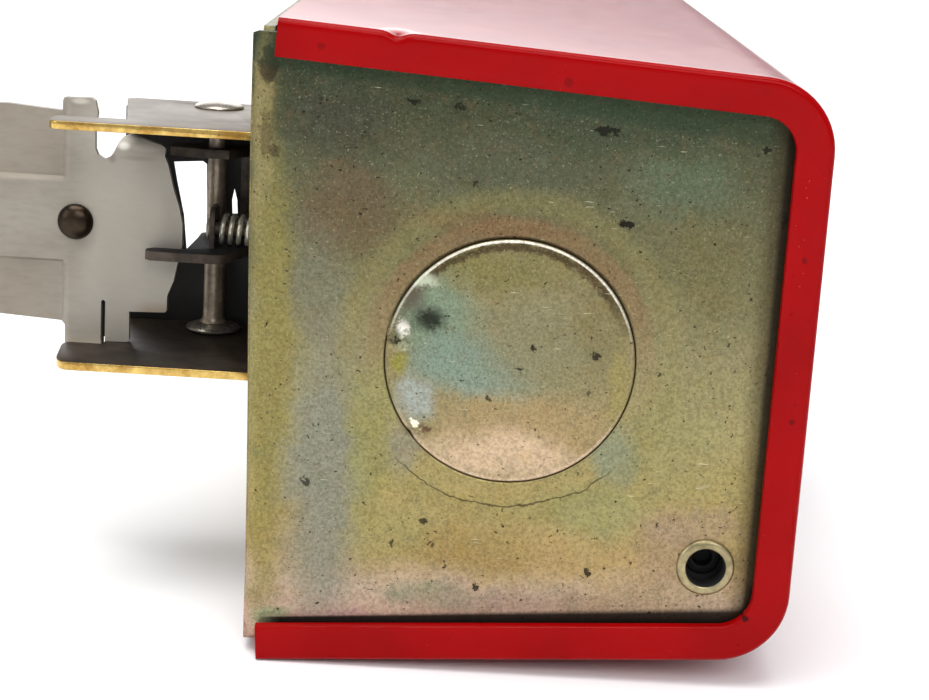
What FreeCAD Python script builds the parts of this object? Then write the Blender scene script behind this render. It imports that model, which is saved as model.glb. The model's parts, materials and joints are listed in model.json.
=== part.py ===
import FreeCAD, Part
import os
import Sketcher
from FreeCAD import Placement, Rotation, Vector

# Street fire alarm box. X points out of the wall, Y along the box, Z up.
# The origin is the middle of the wall hole pattern on the back of the base plate.
# All lengths are in millimetres.

doc = FreeCAD.newDocument("fire_alarm_box")
sheet = doc.addObject("Spreadsheet::Sheet", "dim")

SIZES = [
    # cover
    ("cover_len", 120.0), ("cover_back", 1.5), ("cover_front", 49.7),
    ("rear_half", 29.2), ("front_half", 26.25), ("cover_wall", 1.0),
    ("corner_rad", 6.5), ("lip_width", 3.35),
    # chassis
    ("end_clear", 1.5), ("sheet_wall", 1.0), ("base_half", 28.2),
    ("plate_front", 47.5), ("corner_cut", 1.5), ("edge_gap", 0.25),
    ("knock_x", 23.0), ("knock_rad", 11.1), ("slit_gap", 0.2), ("tie_width", 2.4),
    ("hole_span_y", 100.0), ("hole_span_z", 44.0), ("wall_hole_rad", 2.2),
    # key eyelet and lock
    ("key_x", 41.96), ("key_rise", 8.15), ("eyelet_rad", 2.65), ("eyelet_bore", 1.75),
    ("eyelet_shank", 2.2), ("bolt_rad", 1.6),
    # bracket with two ears
    ("ear_wall", 0.8), ("ear_top", 17.2), ("ear_low", -6.0), ("ear_reach", 21.25),
    ("low_reach", 20.4), ("ear_near", -45.0), ("ear_far", -24.6), ("ear_step_x", -17.2),
    ("ear_step_y", -41.0), ("card_wall", 0.4),
    # latch
    ("pin_x", -7.3), ("pin_y", -28.5), ("pin_rad", 0.95), ("latch_wall", 0.9),
    ("latch_z", 3.05), ("latch_high", 12.3), ("finger_x", -13.0), ("finger_y", -38.4),
    # release arm
    ("arm_y", -36.0), ("arm_wall", 0.8), ("arm_end", -70.0), ("arm_rivet_x", -20.25),
    ("arm_rivet_z", 6.03), ("cable_x", -65.0), ("cable_rad", 2.0),
    # pull rod and spring
    ("rod_y", -33.0), ("rod_z", 5.6), ("rod_rad", 0.6), ("rod_head", 1.2), ("collar_rad", 1.0),
    ("spring_rad", 1.41), ("wire_rad", 0.22), ("spring_pitch", 0.74), ("spring_len", 4.96),
    # handle
    ("hinge_x", 42.0), ("hinge_z", 2.6), ("shaft_rad", 1.25), ("handle_half", 17.5),
    ("handle_front", 56.2), ("handle_low", 1.0), ("handle_top", 18.0), ("window_gap", 1.1),
    ("window_low", -2.6), ("frame_half", 21.0),
    # contacts
    ("block_x", 12.0), ("block_near", 24.0), ("block_far", 44.0), ("blade_y", 30.0),
    ("blade_width", 6.0), ("blade_z", 3.95), ("blade_wall", 0.4), ("blade_tip", 38.5),
    # screws
    ("screw_rad", 1.6), ("screw_head", 2.9), ("screw_rise", 1.5),
]

for row, (alias, number) in enumerate(SIZES, start=1):
    sheet.set("A%d" % row, alias)
    sheet.set("B%d" % row, str(number))
    sheet.setAlias("B%d" % row, alias)
doc.recompute()

PLANES = {"X": "YZ_Plane", "Y": "XZ_Plane", "Z": "XY_Plane"}
AXES = {"X": Vector(1, 0, 0), "Y": Vector(0, 1, 0), "Z": Vector(0, 0, 1)}
exported = []


def bound(text):
    """Put the sheet's name before every size named in an expression."""
    words = text
    for alias, _ in sorted(SIZES, key=lambda item: -len(item[0])):
        words = words.replace("<%s>" % alias, "dim.%s" % alias)
    return words


def value(text):
    return float(sheet.evalExpression(bound(text)))


def new_body(name):
    body = doc.addObject("PartDesign::Body", name)
    body.Label = name
    exported.append(body)
    return body


def hold_point(sketch, index, place, u, v):
    for kind, text in (("DistanceX", u), ("DistanceY", v)):
        number = sketch.addConstraint(
            Sketcher.Constraint(kind, -1, 1, index, place, value(text)))
        sketch.setExpression("Constraints[%d]" % number, bound(text))


def draw(body, name, axis, offset, loops, circles):
    sketch = body.newObject("Sketcher::SketchObject", name)
    plane = [item for item in body.Origin.OriginFeatures if item.Role == PLANES[axis]][0]
    sketch.AttachmentSupport = [(plane, "")]
    sketch.MapMode = "FlatFace"
    sketch.setExpression("AttachmentOffset.Base.z", bound(offset))
    for loop in loops:
        first = sketch.GeometryCount
        count = len(loop)
        spots = [Vector(value(u), value(v), 0) for u, v in loop]
        for i in range(count):
            sketch.addGeometry(Part.LineSegment(spots[i], spots[(i + 1) % count]))
        for i in range(count):
            following = first + (i + 1) % count
            sketch.addConstraint(Sketcher.Constraint("Coincident", first + i, 2, following, 1))
        for i, (u, v) in enumerate(loop):
            hold_point(sketch, first + i, 1, u, v)
    for u, v, radius in circles:
        centre = Vector(value(u), value(v), 0)
        index = sketch.addGeometry(Part.Circle(centre, Vector(0, 0, 1), value(radius)))
        hold_point(sketch, index, 3, u, v)
        number = sketch.addConstraint(Sketcher.Constraint("Radius", index, value(radius)))
        sketch.setExpression("Constraints[%d]" % number, bound(radius))
    return sketch


def slab(body, name, axis, start, length, loops=(), circles=()):
    """Add material between start and start + length along an axis."""
    offset = "-(%s) - (%s)" % (start, length) if axis == "Y" else start
    sketch = draw(body, name + "_sketch", axis, offset, loops, circles)
    feature = body.newObject("PartDesign::Pad", name)
    feature.Profile = sketch
    feature.setExpression("Length", bound(length))
    doc.recompute()
    return feature


def cut(body, name, axis, start, length, loops=(), circles=()):
    """Take material away between start and start + length along an axis."""
    before = body.Shape.Volume
    offset = "-(%s)" % start if axis == "Y" else "(%s) + (%s)" % (start, length)
    sketch = draw(body, name + "_sketch", axis, offset, loops, circles)
    feature = body.newObject("PartDesign::Pocket", name)
    feature.Profile = sketch
    feature.setExpression("Length", bound(length))
    doc.recompute()
    if not body.Shape.Volume < before - 1e-6:
        raise RuntimeError("nothing was cut by " + name)
    return feature


def soften(body, name, radius, axis, spots):
    """Round the straight edges that run along an axis through the given spots."""
    tip = body.Tip
    along = AXES[axis]
    others = [AXES[key] for key in "XYZ" if key != axis]
    wanted = [others[0] * value(u) + others[1] * value(v) for u, v in spots]
    picked = []
    for index, edge in enumerate(tip.Shape.Edges, start=1):
        if len(edge.Vertexes) != 2:
            continue
        ends = [vertex.Point for vertex in edge.Vertexes]
        run = ends[1] - ends[0]
        if run.Length < 1e-6 or abs(abs(run.dot(along)) / run.Length - 1) > 1e-4:
            continue
        for spot in wanted:
            away = ends[0] - spot
            away = away - along * away.dot(along)
            if away.Length < 0.05:
                picked.append("Edge%d" % index)
                break
    if not picked:
        raise RuntimeError("no edge found for " + name)
    feature = body.newObject("PartDesign::Fillet", name)
    feature.Base = (tip, picked)
    feature.setExpression("Radius", bound(radius))
    doc.recompute()
    return feature


def turned(name, at, axis, profile):
    """Revolve (radius, height) points about the body's own upright axis."""
    body = new_body(name)
    sketch = draw(body, name + "_sketch", "Y", "0", [profile], [])
    feature = body.newObject("PartDesign::Revolution", name + "_turn")
    feature.Profile = sketch
    feature.ReferenceAxis = (sketch, ["V_Axis"])
    feature.Angle = 360.0
    body.Placement = Placement(Vector(0, 0, 0), Rotation(Vector(0, 0, 1), axis))
    for key, text in zip("xyz", at):
        body.setExpression("Placement.Base." + key, bound(text))
    doc.recompute()
    return body


def mirrored(points):
    """Close an outline by repeating its points with the second value negated."""
    return points + [(u, "-(%s)" % v) for u, v in reversed(points)]


def box_loop(low_u, high_u, low_v, high_v):
    return [(low_u, low_v), (high_u, low_v), (high_u, high_v), (low_u, high_v)]


def make_chassis():
    body = new_body("chassis_frame")
    far = "(<cover_len> - 2 * <end_clear>)/2"
    cut_y = "(<cover_len> - 2 * <end_clear>)/2 - <corner_cut>"
    cut_z = "<base_half> - <corner_cut>"
    outline = [
        ("-(%s)" % cut_y, "-<base_half>"), (cut_y, "-<base_half>"),
        (far, "-(%s)" % cut_z), (far, cut_z),
        (cut_y, "<base_half>"), ("-(%s)" % cut_y, "<base_half>"),
        ("-(%s)" % far, cut_z), ("-(%s)" % far, "-(%s)" % cut_z),
    ]
    slab(body, "base_plate", "X", "0", "<sheet_wall>", [outline])
    end_outline = mirrored([
        ("0", cut_z), ("<corner_cut> + 0.7", "<rear_half> - <cover_wall> - <edge_gap> - 0.04"),
        ("<plate_front>", "<front_half> - <cover_wall> - <edge_gap> + 0.1")])
    slab(body, "near_end", "Y", "-(<cover_len> - 2 * <end_clear>)/2", "<sheet_wall>", [end_outline])
    slab(body, "far_end", "Y", "(<cover_len> - 2 * <end_clear>)/2 - <sheet_wall>", "<sheet_wall>", [end_outline])
    front_z = "<front_half> - <cover_wall> - <edge_gap> + 0.1"
    soften(body, "front_corners", "<corner_rad> - <cover_wall> + 0.3", "Y",
           [("<plate_front>", front_z), ("<plate_front>", "-(%s)" % front_z)])
    soften(body, "bend_outside", "<sheet_wall> + 0.2", "Z",
           [("0", "-(<cover_len> - 2 * <end_clear>)/2"), ("0", "(<cover_len> - 2 * <end_clear>)/2")])
    soften(body, "bend_inside", "0.4", "Z",
           [("<sheet_wall>", "<sheet_wall> - (<cover_len> - 2 * <end_clear>)/2"),
            ("<sheet_wall>", "(<cover_len> - 2 * <end_clear>)/2 - <sheet_wall>")])
    body.AllowCompound = True
    ring = [("<knock_x>", "0", "<knock_rad>"), ("<knock_x>", "0", "<knock_rad> + <slit_gap>")]
    left = "<knock_x> - <knock_rad> - 0.9"
    right = "<knock_x> - <knock_rad> + 1.1"
    low_tie = box_loop("<knock_x> - <knock_rad>*0.71 - 0.9", "<knock_x> - <knock_rad>*0.71 + 0.9",
                       "-<knock_rad>*0.71 - 0.9", "-<knock_rad>*0.71 + 0.9")
    for end, start in (("near", "-(<cover_len> - 2 * <end_clear>)/2"), ("far", "(<cover_len> - 2 * <end_clear>)/2 - <sheet_wall>")):
        cut(body, end + "_slit", "Y", start, "<sheet_wall>", [], ring)
        slab(body, end + "_tie", "Y", start, "<sheet_wall>",
             [box_loop(left, right, "2.6 - <tie_width>/2", "2.6 + <tie_width>/2")])
        slab(body, end + "_low_tie", "Y", start, "<sheet_wall>", [low_tie])
    holes = []
    for sign_y in ("-", ""):
        for sign_z in ("-", ""):
            holes.append((sign_y + "<hole_span_y>/2", sign_z + "<hole_span_z>/2",
                          "<wall_hole_rad>"))
    holes.append(("<rod_y>", "<rod_z>", "<rod_rad> + 0.08"))
    for y, z in RIVETS + FRAME_SCREWS + BLOCK_SCREWS + GROUND_SCREW:
        holes.append((y, z, "<screw_rad> - 0.28"))
    cut(body, "base_holes", "X", "0", "<sheet_wall>", [], holes)
    cut(body, "key_hole", "Y", "-(<cover_len> - 2 * <end_clear>)/2", "<sheet_wall>", [],
        [("<key_x>", "<key_rise> - <front_half>", "<eyelet_shank> + 0.03")])


RIVETS = [("-41.5", "11.4"), ("-29.5", "-0.6")]
FRAME_SCREWS = [("0", "12.0"), ("0", "-7.5")]
BLOCK_SCREWS = [("34.0", "15.5"), ("34.0", "-15.5")]
GROUND_SCREW = [("-44.0", "-15.0")]


def make_eyelet():
    # the axis of the turned part points out of the near end plate
    turned("key_eyelet", ("<key_x>", "-(<cover_len> - 2 * <end_clear>)/2", "<key_rise> - <front_half>"), Vector(0, -1, 0), [
        ("<eyelet_bore>", "-<sheet_wall> - 0.5"), ("<eyelet_shank> + 0.4", "-<sheet_wall> - 0.5"),
        ("<eyelet_shank> + 0.4", "-<sheet_wall>"), ("<eyelet_shank>", "-<sheet_wall>"),
        ("<eyelet_shank>", "0"), ("<eyelet_rad>", "0"), ("<eyelet_rad>", "0.22"),
        ("<eyelet_rad> - 0.35", "0.42"), ("<eyelet_bore> + 0.2", "0.42"),
        ("<eyelet_bore>", "0.25")])
    turned("bolt_guide", ("<key_x>", "<sheet_wall> - (<cover_len> - 2 * <end_clear>)/2", "<key_rise> - <front_half>"),
           Vector(0, 1, 0), [
        ("<eyelet_shank> + 0.6", "0"), ("4.2", "0"), ("4.2", "1.2"), ("3.2", "1.2"),
        ("3.2", "5.4"), ("<bolt_rad> + 0.06", "5.4"), ("<bolt_rad> + 0.06", "1.6"),
        ("<eyelet_shank> + 0.6", "1.6")])
    turned("lock_bolt", ("<key_x>", "<sheet_wall> - (<cover_len> - 2 * <end_clear>)/2 + 1.8", "<key_rise> - <front_half>"),
           Vector(0, 1, 0), [
        ("0", "1.2"), ("0.9", "1.2"), ("0.9", "0"), ("<bolt_rad>", "0"),
        ("<bolt_rad>", "4.6"), ("<bolt_rad> - 0.4", "5.0"), ("0", "5.0")])


def make_bracket():
    body = new_body("arm_bracket")
    slab(body, "web", "X", "-<ear_wall>", "<ear_wall>",
         [box_loop("<ear_near> + 0.5", "<ear_far>", "<ear_low> - <ear_wall>", "<ear_top>")])
    for name, reach, start in (("upper_ear", "<ear_reach>", "<ear_top> - <ear_wall>"),
                               ("lower_ear", "<low_reach>", "<ear_low> - <ear_wall>")):
        plan = [
            ("0", "<ear_near>"), ("-" + reach, "<ear_near>"), ("-" + reach, "<ear_step_y>"),
            ("<ear_step_x>", "<ear_step_y>"), ("<ear_step_x>", "<ear_far>"),
            ("0", "<ear_far>")]
        slab(body, name, "Z", start, "<ear_wall>", [plan])
    soften(body, "ear_tips", "1.2", "Z",
           [("-<ear_reach>", "<ear_near>"), ("-<low_reach>", "<ear_near>"),
            ("<ear_step_x>", "<ear_far>")])
    soften(body, "step_tips", "0.8", "Z",
           [("-<ear_reach>", "<ear_step_y>"), ("-<low_reach>", "<ear_step_y>")])
    soften(body, "ear_bends", "<ear_wall> + 0.4", "Y",
           [("0", "<ear_top>"), ("0", "<ear_low> - <ear_wall>")])
    cut(body, "pin_holes", "Z", "<ear_low> - <ear_wall>", "<ear_top> - <ear_low> + <ear_wall>",
        [], [("<pin_x>", "<pin_y>", "<pin_rad> + 0.03")])
    holes = [("<rod_y>", "<rod_z>", "<rod_rad> + 0.08")]
    for y, z in RIVETS:
        holes.append((y, z, "<screw_rad> - 0.28"))
    cut(body, "web_holes", "X", "-<ear_wall>", "<ear_wall>", [], holes)
    card = new_body("back_card")
    slab(card, "card", "Y", "<ear_far> - 0.2 - <card_wall>", "<card_wall>",
         [box_loop("<ear_step_x> + 0.8", "-<ear_wall>", "<ear_low>", "<ear_top> - <ear_wall>")])
    cut(card, "card_window", "Y", "<ear_far> - 0.2 - <card_wall>", "<card_wall>",
        [[("-12.63", "10.87"), ("-12.27", "8.96"), ("-11.46", "5.31"), ("-11.11", "1.77"),
          ("-8.59", "1.93"), ("-8.84", "10.84"), ("-9.26", "11.13")]])
    cut(card, "card_slit", "Y", "<ear_far> - 0.2 - <card_wall>", "<card_wall>",
        [[("-5.91", "8.50"), ("-6.15", "7.22"), ("-6.07", "5.75"),
          ("-5.50", "5.78"), ("-5.59", "7.25")]])
    for name, (y, z) in zip(("bracket_rivet_upper", "bracket_rivet_lower"), RIVETS):
        turned(name, ("-<ear_wall>", y, z), Vector(-1, 0, 0), [
            ("0", "-<ear_wall> - <sheet_wall> - 0.7"), ("1.6", "-<ear_wall> - <sheet_wall> - 0.5"),
            ("1.9", "-<ear_wall> - <sheet_wall>"), ("<screw_rad> - 0.32", "-<ear_wall> - <sheet_wall>"),
            ("<screw_rad> - 0.32", "0"), ("2.0", "0"), ("1.7", "0.45"), ("0.9", "0.7"), ("0", "0.75")])


def make_pin():
    turned("latch_pin", ("<pin_x>", "<pin_y>", "<ear_top>"), Vector(0, 0, 1), [
        ("0", "<ear_low> - <ear_wall> - <ear_top> - 0.7"),
        ("1.5", "<ear_low> - <ear_wall> - <ear_top> - 0.5"),
        ("1.9", "<ear_low> - <ear_wall> - <ear_top>"),
        ("<pin_rad>", "<ear_low> - <ear_wall> - <ear_top>"), ("<pin_rad>", "0"),
        ("2.5", "0"), ("2.4", "0.35"), ("1.9", "0.75"), ("1.0", "1.05"), ("0", "1.12")])
    turned("pin_washer", ("<pin_x>", "<pin_y>", "<ear_low>"), Vector(0, 0, 1), [
        ("<pin_rad> + 0.06", "0"), ("2.8", "0"), ("2.8", "0.5"), ("<pin_rad> + 0.06", "0.5")])
    turned("pin_spacer", ("<pin_x>", "<pin_y>", "<ear_low> + 0.5"), Vector(0, 0, 1), [
        ("<pin_rad> + 0.06", "0"), ("1.6", "0"), ("1.6", "<latch_z> - <ear_low> - 0.53"),
        ("<pin_rad> + 0.06", "<latch_z> - <ear_low> - 0.53")])


def make_latch():
    body = new_body("latch_yoke")
    low_plan = [
        ("<pin_x> - 2.4", "<pin_y> - 1.6"), ("<pin_x> - 2.2", "<pin_y> + 1.4"),
        ("<pin_x> - 0.8", "<pin_y> + 2.2"), ("<pin_x> + 3.2", "<pin_y> + 1.9"),
        ("<pin_x> + 4.1", "<pin_y> - 4.5"), ("<pin_x> + 2.3", "<finger_y> + 0.5"),
        ("<pin_x> + 1.7", "<finger_y>"), ("<finger_x> + 0.6", "<finger_y>"),
        ("<finger_x>", "<finger_y> + 0.6"), ("<finger_x>", "<finger_y> + 1.5"),
        ("<finger_x> + 0.6", "<finger_y> + 2.1"), ("<pin_x> - 1.9", "<finger_y> + 2.1")]
    slab(body, "lower_plate", "Z", "<latch_z>", "<latch_wall>", [low_plan])
    slab(body, "back_web", "Y", "<pin_y> + 1.9 - <latch_wall>", "<latch_wall>",
         [box_loop("<pin_x> + 2.3", "<pin_x> + 3.2", "<latch_z>", "<latch_high> + <latch_wall>")])
    high_plan = [
        ("<pin_x> - 4.6", "<pin_y> - 1.6"), ("<pin_x> - 4.6", "<pin_y> + 0.8"),
        ("<pin_x> - 0.8", "<pin_y> + 2.2"), ("<pin_x> + 3.2", "<pin_y> + 1.9"),
        ("<pin_x> + 3.2", "<pin_y> + 0.6"), ("<pin_x> + 1.4", "<pin_y> - 2.2"),
        ("<pin_x> - 1.2", "<pin_y> - 2.4")]
    slab(body, "upper_plate", "Z", "<latch_high>", "<latch_wall>", [high_plan])
    slab(body, "rod_lug", "X", "<pin_x> + 0.2", "0.5",
         [box_loop("<rod_y> - 2.2", "<rod_y> + 1.9", "<latch_z>", "<rod_z> + 2.4")])
    soften(body, "lug_top", "1.2", "X",
           [("<rod_y> - 2.2", "<rod_z> + 2.4"), ("<rod_y> + 1.9", "<rod_z> + 2.4")])
    cut(body, "lug_slot", "X", "<pin_x> + 0.2", "0.5",
        [box_loop("<rod_y> - 1.5", "<rod_y> + 0.9", "<rod_z> - 0.85", "<rod_z> + 0.85")])
    cut(body, "pivot", "Z", "<latch_z>", "<latch_high> - <latch_z> + <latch_wall>", [],
        [("<pin_x>", "<pin_y>", "<pin_rad> + 0.06")])


def make_arm():
    body = new_body("release_arm")
    head = [
        ("-21.75", "16.9"), ("-21.68", "18.25"), ("-18.45", "18.37"), ("-18.18", "16.92"),
        ("-18.41", "15.30"), ("-18.38", "13.38"), ("-18.1", "12.6"), ("-17.52", "12.36"),
        ("-16.9", "12.6"), ("-16.15", "14.15"), ("-15.7", "14.65"), ("-15.2", "14.85"),
        ("-11.9", "14.1"), ("-11.5", "13.7"), ("-11.55", "13.04"), ("-11.22", "12.31"),
        ("-10.62", "9.77"), ("-10.05", "8.06"), ("-9.69", "6.34"), ("-9.68", "4.15"),
        ("-10.1", "2.2"), ("-10.41", "0.6"), ("-11.02", "-1.0"), ("-11.03", "-2.67"),
        ("-14.79", "-2.79"), ("-14.74", "-5.4"), ("-15.1", "-5.74"), ("-17.18", "-5.8"),
        ("-17.18", "-1.9"), ("-17.4", "-1.72"), ("-17.61", "-1.9"), ("-17.61", "-7.6"),
        ("-21.17", "-7.6"), ("-22.2", "-4.2")]
    slab(body, "head", "Y", "<arm_y>", "<arm_wall>", [head])
    slab(body, "strip", "Y", "<arm_y> + 0.6", "<arm_wall>",
         [[("-21.5", "-4.2"), ("-21.5", "16.8"), ("-27.0", "17.3"), ("-34.0", "17.1"), ("-45.0", "16.1"), ("<arm_end> + 5", "14.2"),
           ("<arm_end>", "10.5"), ("<arm_end>", "1.5"), ("<arm_end> + 5", "-1.4"),
           ("-45.0", "-2.9")]])
    slab(body, "rib", "Y", "<arm_y>", "0.6",
         [[("-21.5", "1.9"), ("-21.5", "10.3"), ("-58.0", "9.8"), ("-59.5", "8.0"),
           ("-59.5", "4.0"), ("-58.0", "2.3")]])
    cut(body, "rib_back", "Y", "<arm_y> + <arm_wall>", "0.6",
        [[("-22.5", "2.7"), ("-22.5", "9.5"), ("-57.5", "9.0"), ("-58.7", "7.6"),
          ("-58.7", "4.4"), ("-57.5", "3.1")]])
    cut(body, "arm_holes", "Y", "<arm_y> - 0.1", "<arm_wall> + 1.6", [],
        [("<arm_rivet_x>", "<arm_rivet_z>", "0.93"),
         ("<cable_x>", "<arm_rivet_z>", "<cable_rad> + 0.43")])
    turned("arm_rivet", ("<arm_rivet_x>", "<arm_y>", "<arm_rivet_z>"), Vector(0, -1, 0), [
        ("0", "-<arm_wall> - 0.45"), ("1.0", "-<arm_wall> - 0.35"), ("1.2", "-<arm_wall>"),
        ("0.9", "-<arm_wall>"), ("0.9", "0"), ("1.7", "0"), ("1.5", "0.4"), ("0.9", "0.66"),
        ("0", "0.75")])
    turned("cable_eyelet", ("<cable_x>", "<arm_y> + 0.6", "<arm_rivet_z>"), Vector(0, -1, 0), [
        ("<cable_rad>", "-<arm_wall> - 0.5"), ("<cable_rad> + 1.0", "-<arm_wall> - 0.4"),
        ("<cable_rad> + 1.0", "-<arm_wall>"), ("<cable_rad> + 0.4", "-<arm_wall>"),
        ("<cable_rad> + 0.4", "0"), ("<cable_rad> + 1.2", "0"), ("<cable_rad> + 1.1", "0.4"),
        ("<cable_rad> + 0.3", "0.55"), ("<cable_rad>", "0.3")])


def make_rod():
    turned("pull_rod", ("<pin_x> + 0.15", "<rod_y>", "<rod_z>"), Vector(1, 0, 0), [
        ("0", "-0.5"), ("0.8", "-0.45"), ("<rod_head>", "-0.3"), ("<rod_head>", "0"),
        ("<rod_rad>", "0"), ("<rod_rad>", "<hinge_x> + 2.3 - <pin_x> - 0.15"),
        ("<rod_rad> - 0.2", "<hinge_x> + 2.5 - <pin_x> - 0.15"),
        ("0", "<hinge_x> + 2.5 - <pin_x> - 0.15")])
    turned("rod_collar", ("<hinge_x> + 0.55", "<rod_y>", "<rod_z>"), Vector(1, 0, 0), [
        ("<rod_rad> + 0.02", "0"), ("<collar_rad>", "0"), ("<collar_rad>", "1.4"),
        ("<collar_rad> - 0.2", "1.6"), ("<rod_rad> + 0.02", "1.6")])
    turned("spring_seat", ("-<ear_wall>", "<rod_y>", "<rod_z>"), Vector(-1, 0, 0), [
        ("<rod_rad> + 0.1", "0"), ("2.1", "0"), ("2.1", "0.35"), ("<rod_rad> + 0.1", "0.35")])
    helix = doc.addObject("Part::Helix", "spring_path")
    helix.setExpression("Pitch", bound("<spring_pitch>"))
    helix.setExpression("Height", bound("<spring_len>"))
    helix.setExpression("Radius", bound("<spring_rad>"))
    wire = doc.addObject("Part::Circle", "spring_wire")
    wire.setExpression("Radius", bound("<wire_rad>"))
    wire.setExpression("Placement.Base.x", bound("<spring_rad>"))
    wire.Placement.Rotation = Rotation(Vector(1, 0, 0), 90)
    spring = doc.addObject("Part::Sweep", "latch_spring")
    spring.Sections = [wire]
    spring.Spine = (helix, [])
    spring.Solid = True
    spring.Frenet = True
    spring.Label = "latch_spring"
    spring.Placement = Placement(Vector(0, 0, 0), Rotation(Vector(0, 0, 1), Vector(-1, 0, 0)))
    spring.setExpression("Placement.Base.x", bound("-<ear_wall> - 0.35 - <wire_rad> - 0.02"))
    spring.setExpression("Placement.Base.y", bound("<rod_y>"))
    spring.setExpression("Placement.Base.z", bound("<rod_z>"))
    doc.recompute()
    exported.append(spring)


def make_handle():
    body = new_body("pull_handle")
    neck = [("<hinge_x>", "<hinge_z> - 3.0"), ("<hinge_x> + 6", "<handle_low>"),
            ("<hinge_x> + 6", "<hinge_z> + 4.0"), ("<hinge_x>", "<hinge_z> + 3.3")]
    paddle = [
        ("<hinge_x> + 5", "<handle_low>"), ("<handle_front> - 1.2", "<handle_low>"),
        ("<handle_front>", "<handle_low> + 1.5"), ("<handle_front>", "<handle_top> - 1.2"),
        ("<handle_front> - 1.0", "<handle_top>"), ("<handle_front> - 2.6", "<handle_top>"),
        ("<handle_front> - 3.0", "<handle_low> + 6"), ("<hinge_x> + 6.6", "<handle_low> + 6"),
        ("<hinge_x> + 5", "<handle_low> + 5")]
    slab(body, "hub", "Y", "-<handle_half>", "2*<handle_half>", [],
         [("<hinge_x>", "<hinge_z>", "3.4")])
    slab(body, "neck", "Y", "-<handle_half> + 3", "2*<handle_half> - 6", [neck])
    slab(body, "paddle", "Y", "-<handle_half>", "2*<handle_half>", [paddle])
    soften(body, "paddle_corners", "2.4", "X",
           [("-<handle_half>", "<handle_top>"), ("<handle_half>", "<handle_top>")])
    cut(body, "bore", "Y", "-<handle_half>", "2*<handle_half>", [],
        [("<hinge_x>", "<hinge_z>", "<shaft_rad> + 0.02")])
    turned("handle_shaft", ("<hinge_x>", "-36.5", "<hinge_z>"), Vector(0, 1, 0), [
        ("0", "0"), ("<shaft_rad> - 0.3", "0"), ("<shaft_rad>", "0.3"), ("<shaft_rad>", "70.2"),
        ("<shaft_rad> - 0.3", "70.5"), ("0", "70.5")])
    crank = new_body("rod_crank")
    slab(crank, "crank_hub", "Y", "<rod_y> - 2.2", "4.4", [],
         [("<hinge_x>", "<hinge_z>", "<shaft_rad> + 0.45")])
    slab(crank, "crank_plate", "X", "<hinge_x> - 0.5", "1.0",
         [box_loop("<rod_y> - 2.2", "<rod_y> + 2.2", "<hinge_z>", "<rod_z> + 2.0")])
    soften(crank, "crank_tips", "0.9", "X",
           [("<rod_y> - 2.2", "<rod_z> + 2.0"), ("<rod_y> + 2.2", "<rod_z> + 2.0")])
    cut(crank, "crank_slot", "X", "<hinge_x> - 1.0", "2.0",
        [box_loop("<rod_y> - 0.8", "<rod_y> + 0.8", "<hinge_z> + 1.9", "<rod_z> + 2.5")])
    cut(crank, "crank_bore", "Y", "<rod_y> - 2.2", "4.4", [],
        [("<hinge_x>", "<hinge_z>", "<shaft_rad> + 0.02")])
    finger = new_body("switch_finger")
    slab(finger, "finger_hub", "Y", "<blade_y> - 2.5", "5.0", [],
         [("<hinge_x>", "<hinge_z>", "2.3")])
    slab(finger, "finger_bar", "Y", "<blade_y> - 2.5", "5.0",
         [box_loop("<hinge_x> - 7", "<hinge_x>", "<hinge_z> - 1", "<hinge_z> + 1")])
    soften(finger, "finger_nose", "0.7", "Y",
           [("<hinge_x> - 7", "<hinge_z> + 1"), ("<hinge_x> - 7", "<hinge_z> - 1")])
    cut(finger, "finger_bore", "Y", "<blade_y> - 2.5", "5.0", [],
        [("<hinge_x>", "<hinge_z>", "<shaft_rad> + 0.02")])


def make_frame():
    body = new_body("handle_frame")
    slab(body, "frame_web", "X", "<sheet_wall>", "<sheet_wall>",
         [box_loop("-<frame_half>", "<frame_half>", "-11", "16")])
    cheek = [("<sheet_wall>", "-11"), ("12", "-11"), ("34", "-2.5"), ("<hinge_x> + 3.4", "-1.5"),
             ("<hinge_x> + 3.4", "7.5"), ("34", "9"), ("12", "16"), ("<sheet_wall>", "16")]
    slab(body, "near_cheek", "Y", "-<frame_half>", "<sheet_wall>", [cheek])
    slab(body, "far_cheek", "Y", "<frame_half> - <sheet_wall>", "<sheet_wall>", [cheek])
    cut(body, "shaft_holes", "Y", "-<frame_half>", "2*<frame_half>", [],
        [("<hinge_x>", "<hinge_z>", "<shaft_rad> + 0.05")])
    cut(body, "cheek_windows", "Y", "-<frame_half>", "2*<frame_half>",
        [[("8", "-5"), ("14", "-5"), ("30", "0.5"), ("30", "6"), ("14", "10"), ("8", "10")]])
    holes = [(y, z, "<screw_rad> - 0.28") for y, z in FRAME_SCREWS]
    cut(body, "frame_holes", "X", "<sheet_wall>", "<sheet_wall>", [], holes)
    soften(body, "frame_bends", "1.4", "Z",
           [("<sheet_wall>", "-<frame_half>"), ("<sheet_wall>", "<frame_half>")])


def make_screw(name, base, y, z, depth):
    turned(name, (base, y, z), Vector(1, 0, 0), [
        ("0", "-(%s)" % depth), ("<screw_rad> - 0.55", "-(%s)" % depth),
        ("<screw_rad> - 0.33", "0.2 - (%s)" % depth), ("<screw_rad> - 0.33", "0"),
        ("<screw_head>", "0"), ("<screw_head>", "<screw_rise> - 0.7"),
        ("<screw_head> - 0.7", "<screw_rise>"), ("0", "<screw_rise>")])


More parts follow.
